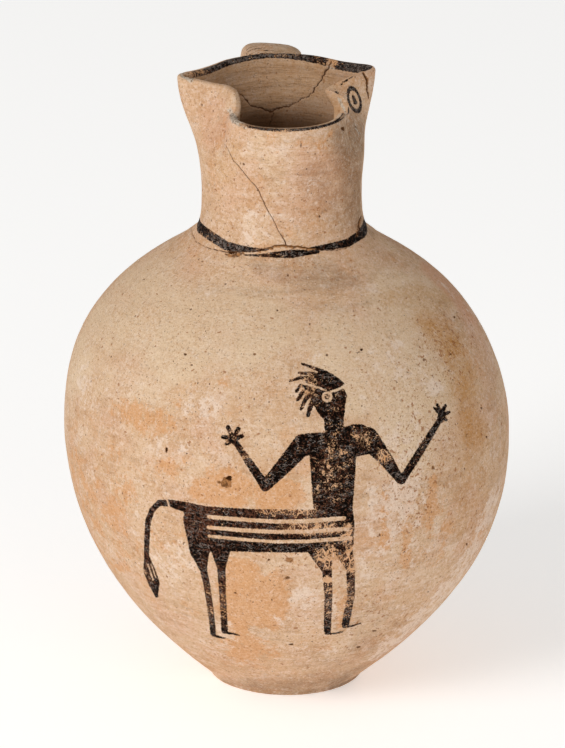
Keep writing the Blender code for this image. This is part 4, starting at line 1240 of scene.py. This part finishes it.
    paint = blend(times(brown, 0.72), "paint", "paintBrown")
    paint = blend(times(hairs, 0.8), paint, "paintGrey")
    # grey over the paint where marked: dust, and a painted sheen on the black paint
    dust = between(noise(1.1, 5.0, seed=27.0, roughness=0.75), 0.44, 0.60)
    paint = blend(times(times(dust, value("dustAndSheen")), 0.6), paint, "paintGrey")
    colour = blend(times(painted, 0.5), colour, "orange")
    colour = blend(paintShare, colour, paint)

    # cracks last of all
    colour = laid(colour, plus(value("crack"), times(edge, 0.2)), 0.17, -0.05, 0.8, "crack")
    tree.links.new(colour, shader.inputs["Base Color"])

    dull = {"Value": grain, "From Min": 0.3, "From Max": 0.7, "To Min": 0.76, "To Max": 0.92}
    dull = addNode(tree, "ShaderNodeMapRange", dull).outputs[0]
    tree.links.new(minus(dull, times(paintShare, 0.16)), shader.inputs["Roughness"])
    shader.inputs["Specular IOR Level"].default_value = clay["specular"]
    relief = plus(plus(times(grain, 0.35), times(wipe, 1.1)), times(crumbs, 0.5))
    wheel = noise(clay["wheel"], 5.0, stretch=(0.10, 0.10, 1.0), seed=53.0, roughness=0.7)
    relief = plus(relief, times(times(wheel, between(within, 0.0, 0.1)), 2.0))
    relief = minus(relief, times(between(noise(0.9, 1.5, seed=31.0), 0.66, 0.74), 0.8))
    relief = plus(relief, times(paintShare, 0.10))
    bump = {"Strength": clay["bumpStrength"], "Distance": clay["bump"], "Height": relief}
    tree.links.new(addNode(tree, "ShaderNodeBump", bump).outputs[0], shader.inputs["Normal"])
    return material


firedClay = firedClayMaterial()
print("clay mixed")

wallSheet = objectOf("jugBody", wallMesh())
surface = dict(thrownSurface, Clay=firedClay)
wallSheet.data = runTree(wallSheet, thrownSurfaceTree(), surface)
print("body thrown:", len(wallSheet.data.vertices), "points")

path = strapPath()
sizes = {"Width": strap["width"], "Thickness": strap["thickness"], "Squareness": strap["squareness"],
         "Lump Height": strap["lumpHeight"], "Clay": firedClay}
handle = objectOf("strapHandle", cleaned(runTree(path, strapTree(), sizes)))
bpy.data.objects.remove(path)
combined(handle, objectOf("core", coreMesh()), "DIFFERENCE")
strapFaces = [face.vertices for face in handle.data.polygons]
strapShape = BVHTree.FromPolygons([vert.co for vert in handle.data.vertices], strapFaces)
combined(wallSheet, handle, "UNION")
strapFlags = onStrap(wallSheet.data, strapShape)
ringSize = softenJoint(wallSheet.data, strapFlags)
print("strap pressed on, joint of", ringSize, "points")

# The strap's paint in millimetres: an edge along the rim, and wavy cross lines as sines, in radians per
# millimetre, that thin out to the right and down the bend. Then the strap's share of each mark
strapPaint = {
    "edge": 1.6, "half": 0.9, "lineRate": 2.4, "wave": 0.9, "waveRate": 0.5, "thinner": 0.30,
    "right": {"start": -5.0, "reach": 30, "fade": 0.06}, "down": {"start": 5.0, "reach": 20, "fade": 0.1},
    # the strap takes some of the dark mark as painted shade
    "marks": {"wear": 0.38, "wiped": 1.0, "shadeAndSoot": 0.40, "stone": 0.4, "whitish": 0.3,
              "crack": farAway, "plaster": farAway, "raw": farAway},
}


def finishBody(mesh):
    places = pointsOf(mesh)
    fromRim = np.hypot(places[:, 1] - wall["mouthRadius"], places[:, 2] - rimZ) / millimetre
    across = places[:, 0] / millimetre
    waves = strapPaint["wave"] * np.sin(across * strapPaint["waveRate"])
    lines = strapPaint["half"] * np.sin(fromRim * strapPaint["lineRate"] + waves) - strapPaint["thinner"]
    for way, thin in ((across, strapPaint["right"]), (fromRim, strapPaint["down"])):
        lines = lines - np.clip(way - thin["start"], 0, thin["reach"]) * thin["fade"]
    strapValues = dict(strapPaint["marks"], ink=np.maximum(strapPaint["edge"] - fromRim, lines))
    for name in mesh.attributes.keys():
        layer = mesh.attributes[name]
        if layer.domain == "POINT" and layer.data_type == "FLOAT":
            values = np.zeros(len(places))
            layer.data.foreach_get("value", values)
            values = np.where(strapFlags, strapValues.get(name, 0.0), values)
            layer.data.foreach_set("value", values.astype(np.float32))
    mesh.polygons.foreach_set("use_smooth", np.ones(len(mesh.polygons), bool))
    mesh.set_sharp_from_angle(angle=sheet["sharpAngle"])
    mesh.materials.clear()
    mesh.materials.append(firedClay)
    mesh.update()


finishBody(wallSheet.data)
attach(wallSheet, "root")
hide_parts("jug")
triangles = sum(len(face.vertices) - 2 for face in wallSheet.data.polygons)
print("jug finished:", triangles, "triangles")

# Floor, light and camera
studio = {
    "floorHalf": 6.0, "sky": 0.40, "skyColour": (1.0, 0.99, 0.97, 1.0),
    "floor": {"Base Color": (0.95, 0.95, 0.95, 1.0), "Roughness": 0.9, "Specular IOR Level": 0.1,
              "Emission Color": (1.0, 1.0, 1.0, 1.0), "Emission Strength": 0.38},
    "lightAim": (0.0, 0.0, 0.12), "sensor": 36.0,
    "key": {"place": (-1.9, -1.5, 1.5), "size": 1.3, "energy": 37.0, "colour": (1.0, 0.985, 0.96)},
    "fill": {"place": (0.9, -2.4, 0.7), "size": 1.8, "energy": 9.0, "colour": (1.0, 0.99, 0.98)},
}
paleFloor, _, shader = newMaterial("paleFloor")
for name, value in studio["floor"].items():
    shader.inputs[name].default_value = value
half = studio["floorHalf"]
corners = np.array([(-half, -half, 0), (half, -half, 0), (half, half, 0), (-half, half, 0)])
floor = meshFrom("floor", corners, [(0, 1, 2, 3)])
floor.materials.append(paleFloor)
objectOf("floor", floor)

world = bpy.data.worlds.new("paleStudio")
bpy.context.scene.world = world
world.use_nodes = True
sky = world.node_tree.nodes["Background"]
sky.inputs["Color"].default_value = studio["skyColour"]
sky.inputs["Strength"].default_value = studio["sky"]
bpy.context.scene.view_settings.view_transform = "Standard"

for name in ("key", "fill"):
    data = bpy.data.lights.new(name, "AREA")
    data.size, data.energy, data.color = (studio[name][k] for k in ("size", "energy", "colour"))
    light = objectOf(name, data)
    light.location = studio[name]["place"]
    light.rotation_mode = "QUATERNION"
    light.rotation_quaternion = (Vector(studio["lightAim"]) - light.location).to_track_quat("-Z", "Y")

lens = bpy.data.cameras.new("camera")
lens.sensor_width = studio["sensor"]
lens.lens = eye["pixelsPerMetre"] * eye["distance"] * lens.sensor_width / eye["pictureRows"]
camera = objectOf("camera", lens)
stand = np.array(eye["aim"]) + eyeBack * eye["distance"]
stand = stand - (eyeRight * eye["columnShift"] + eyeUp * eye["rowShift"]) / eye["pixelsPerMetre"]
turned = Matrix((eyeRight, eyeUp, eyeBack)).transposed()
camera.matrix_world = Matrix.Translation(Vector(stand)) @ turned.to_4x4()
bpy.context.scene.camera = camera

print("studio ready")
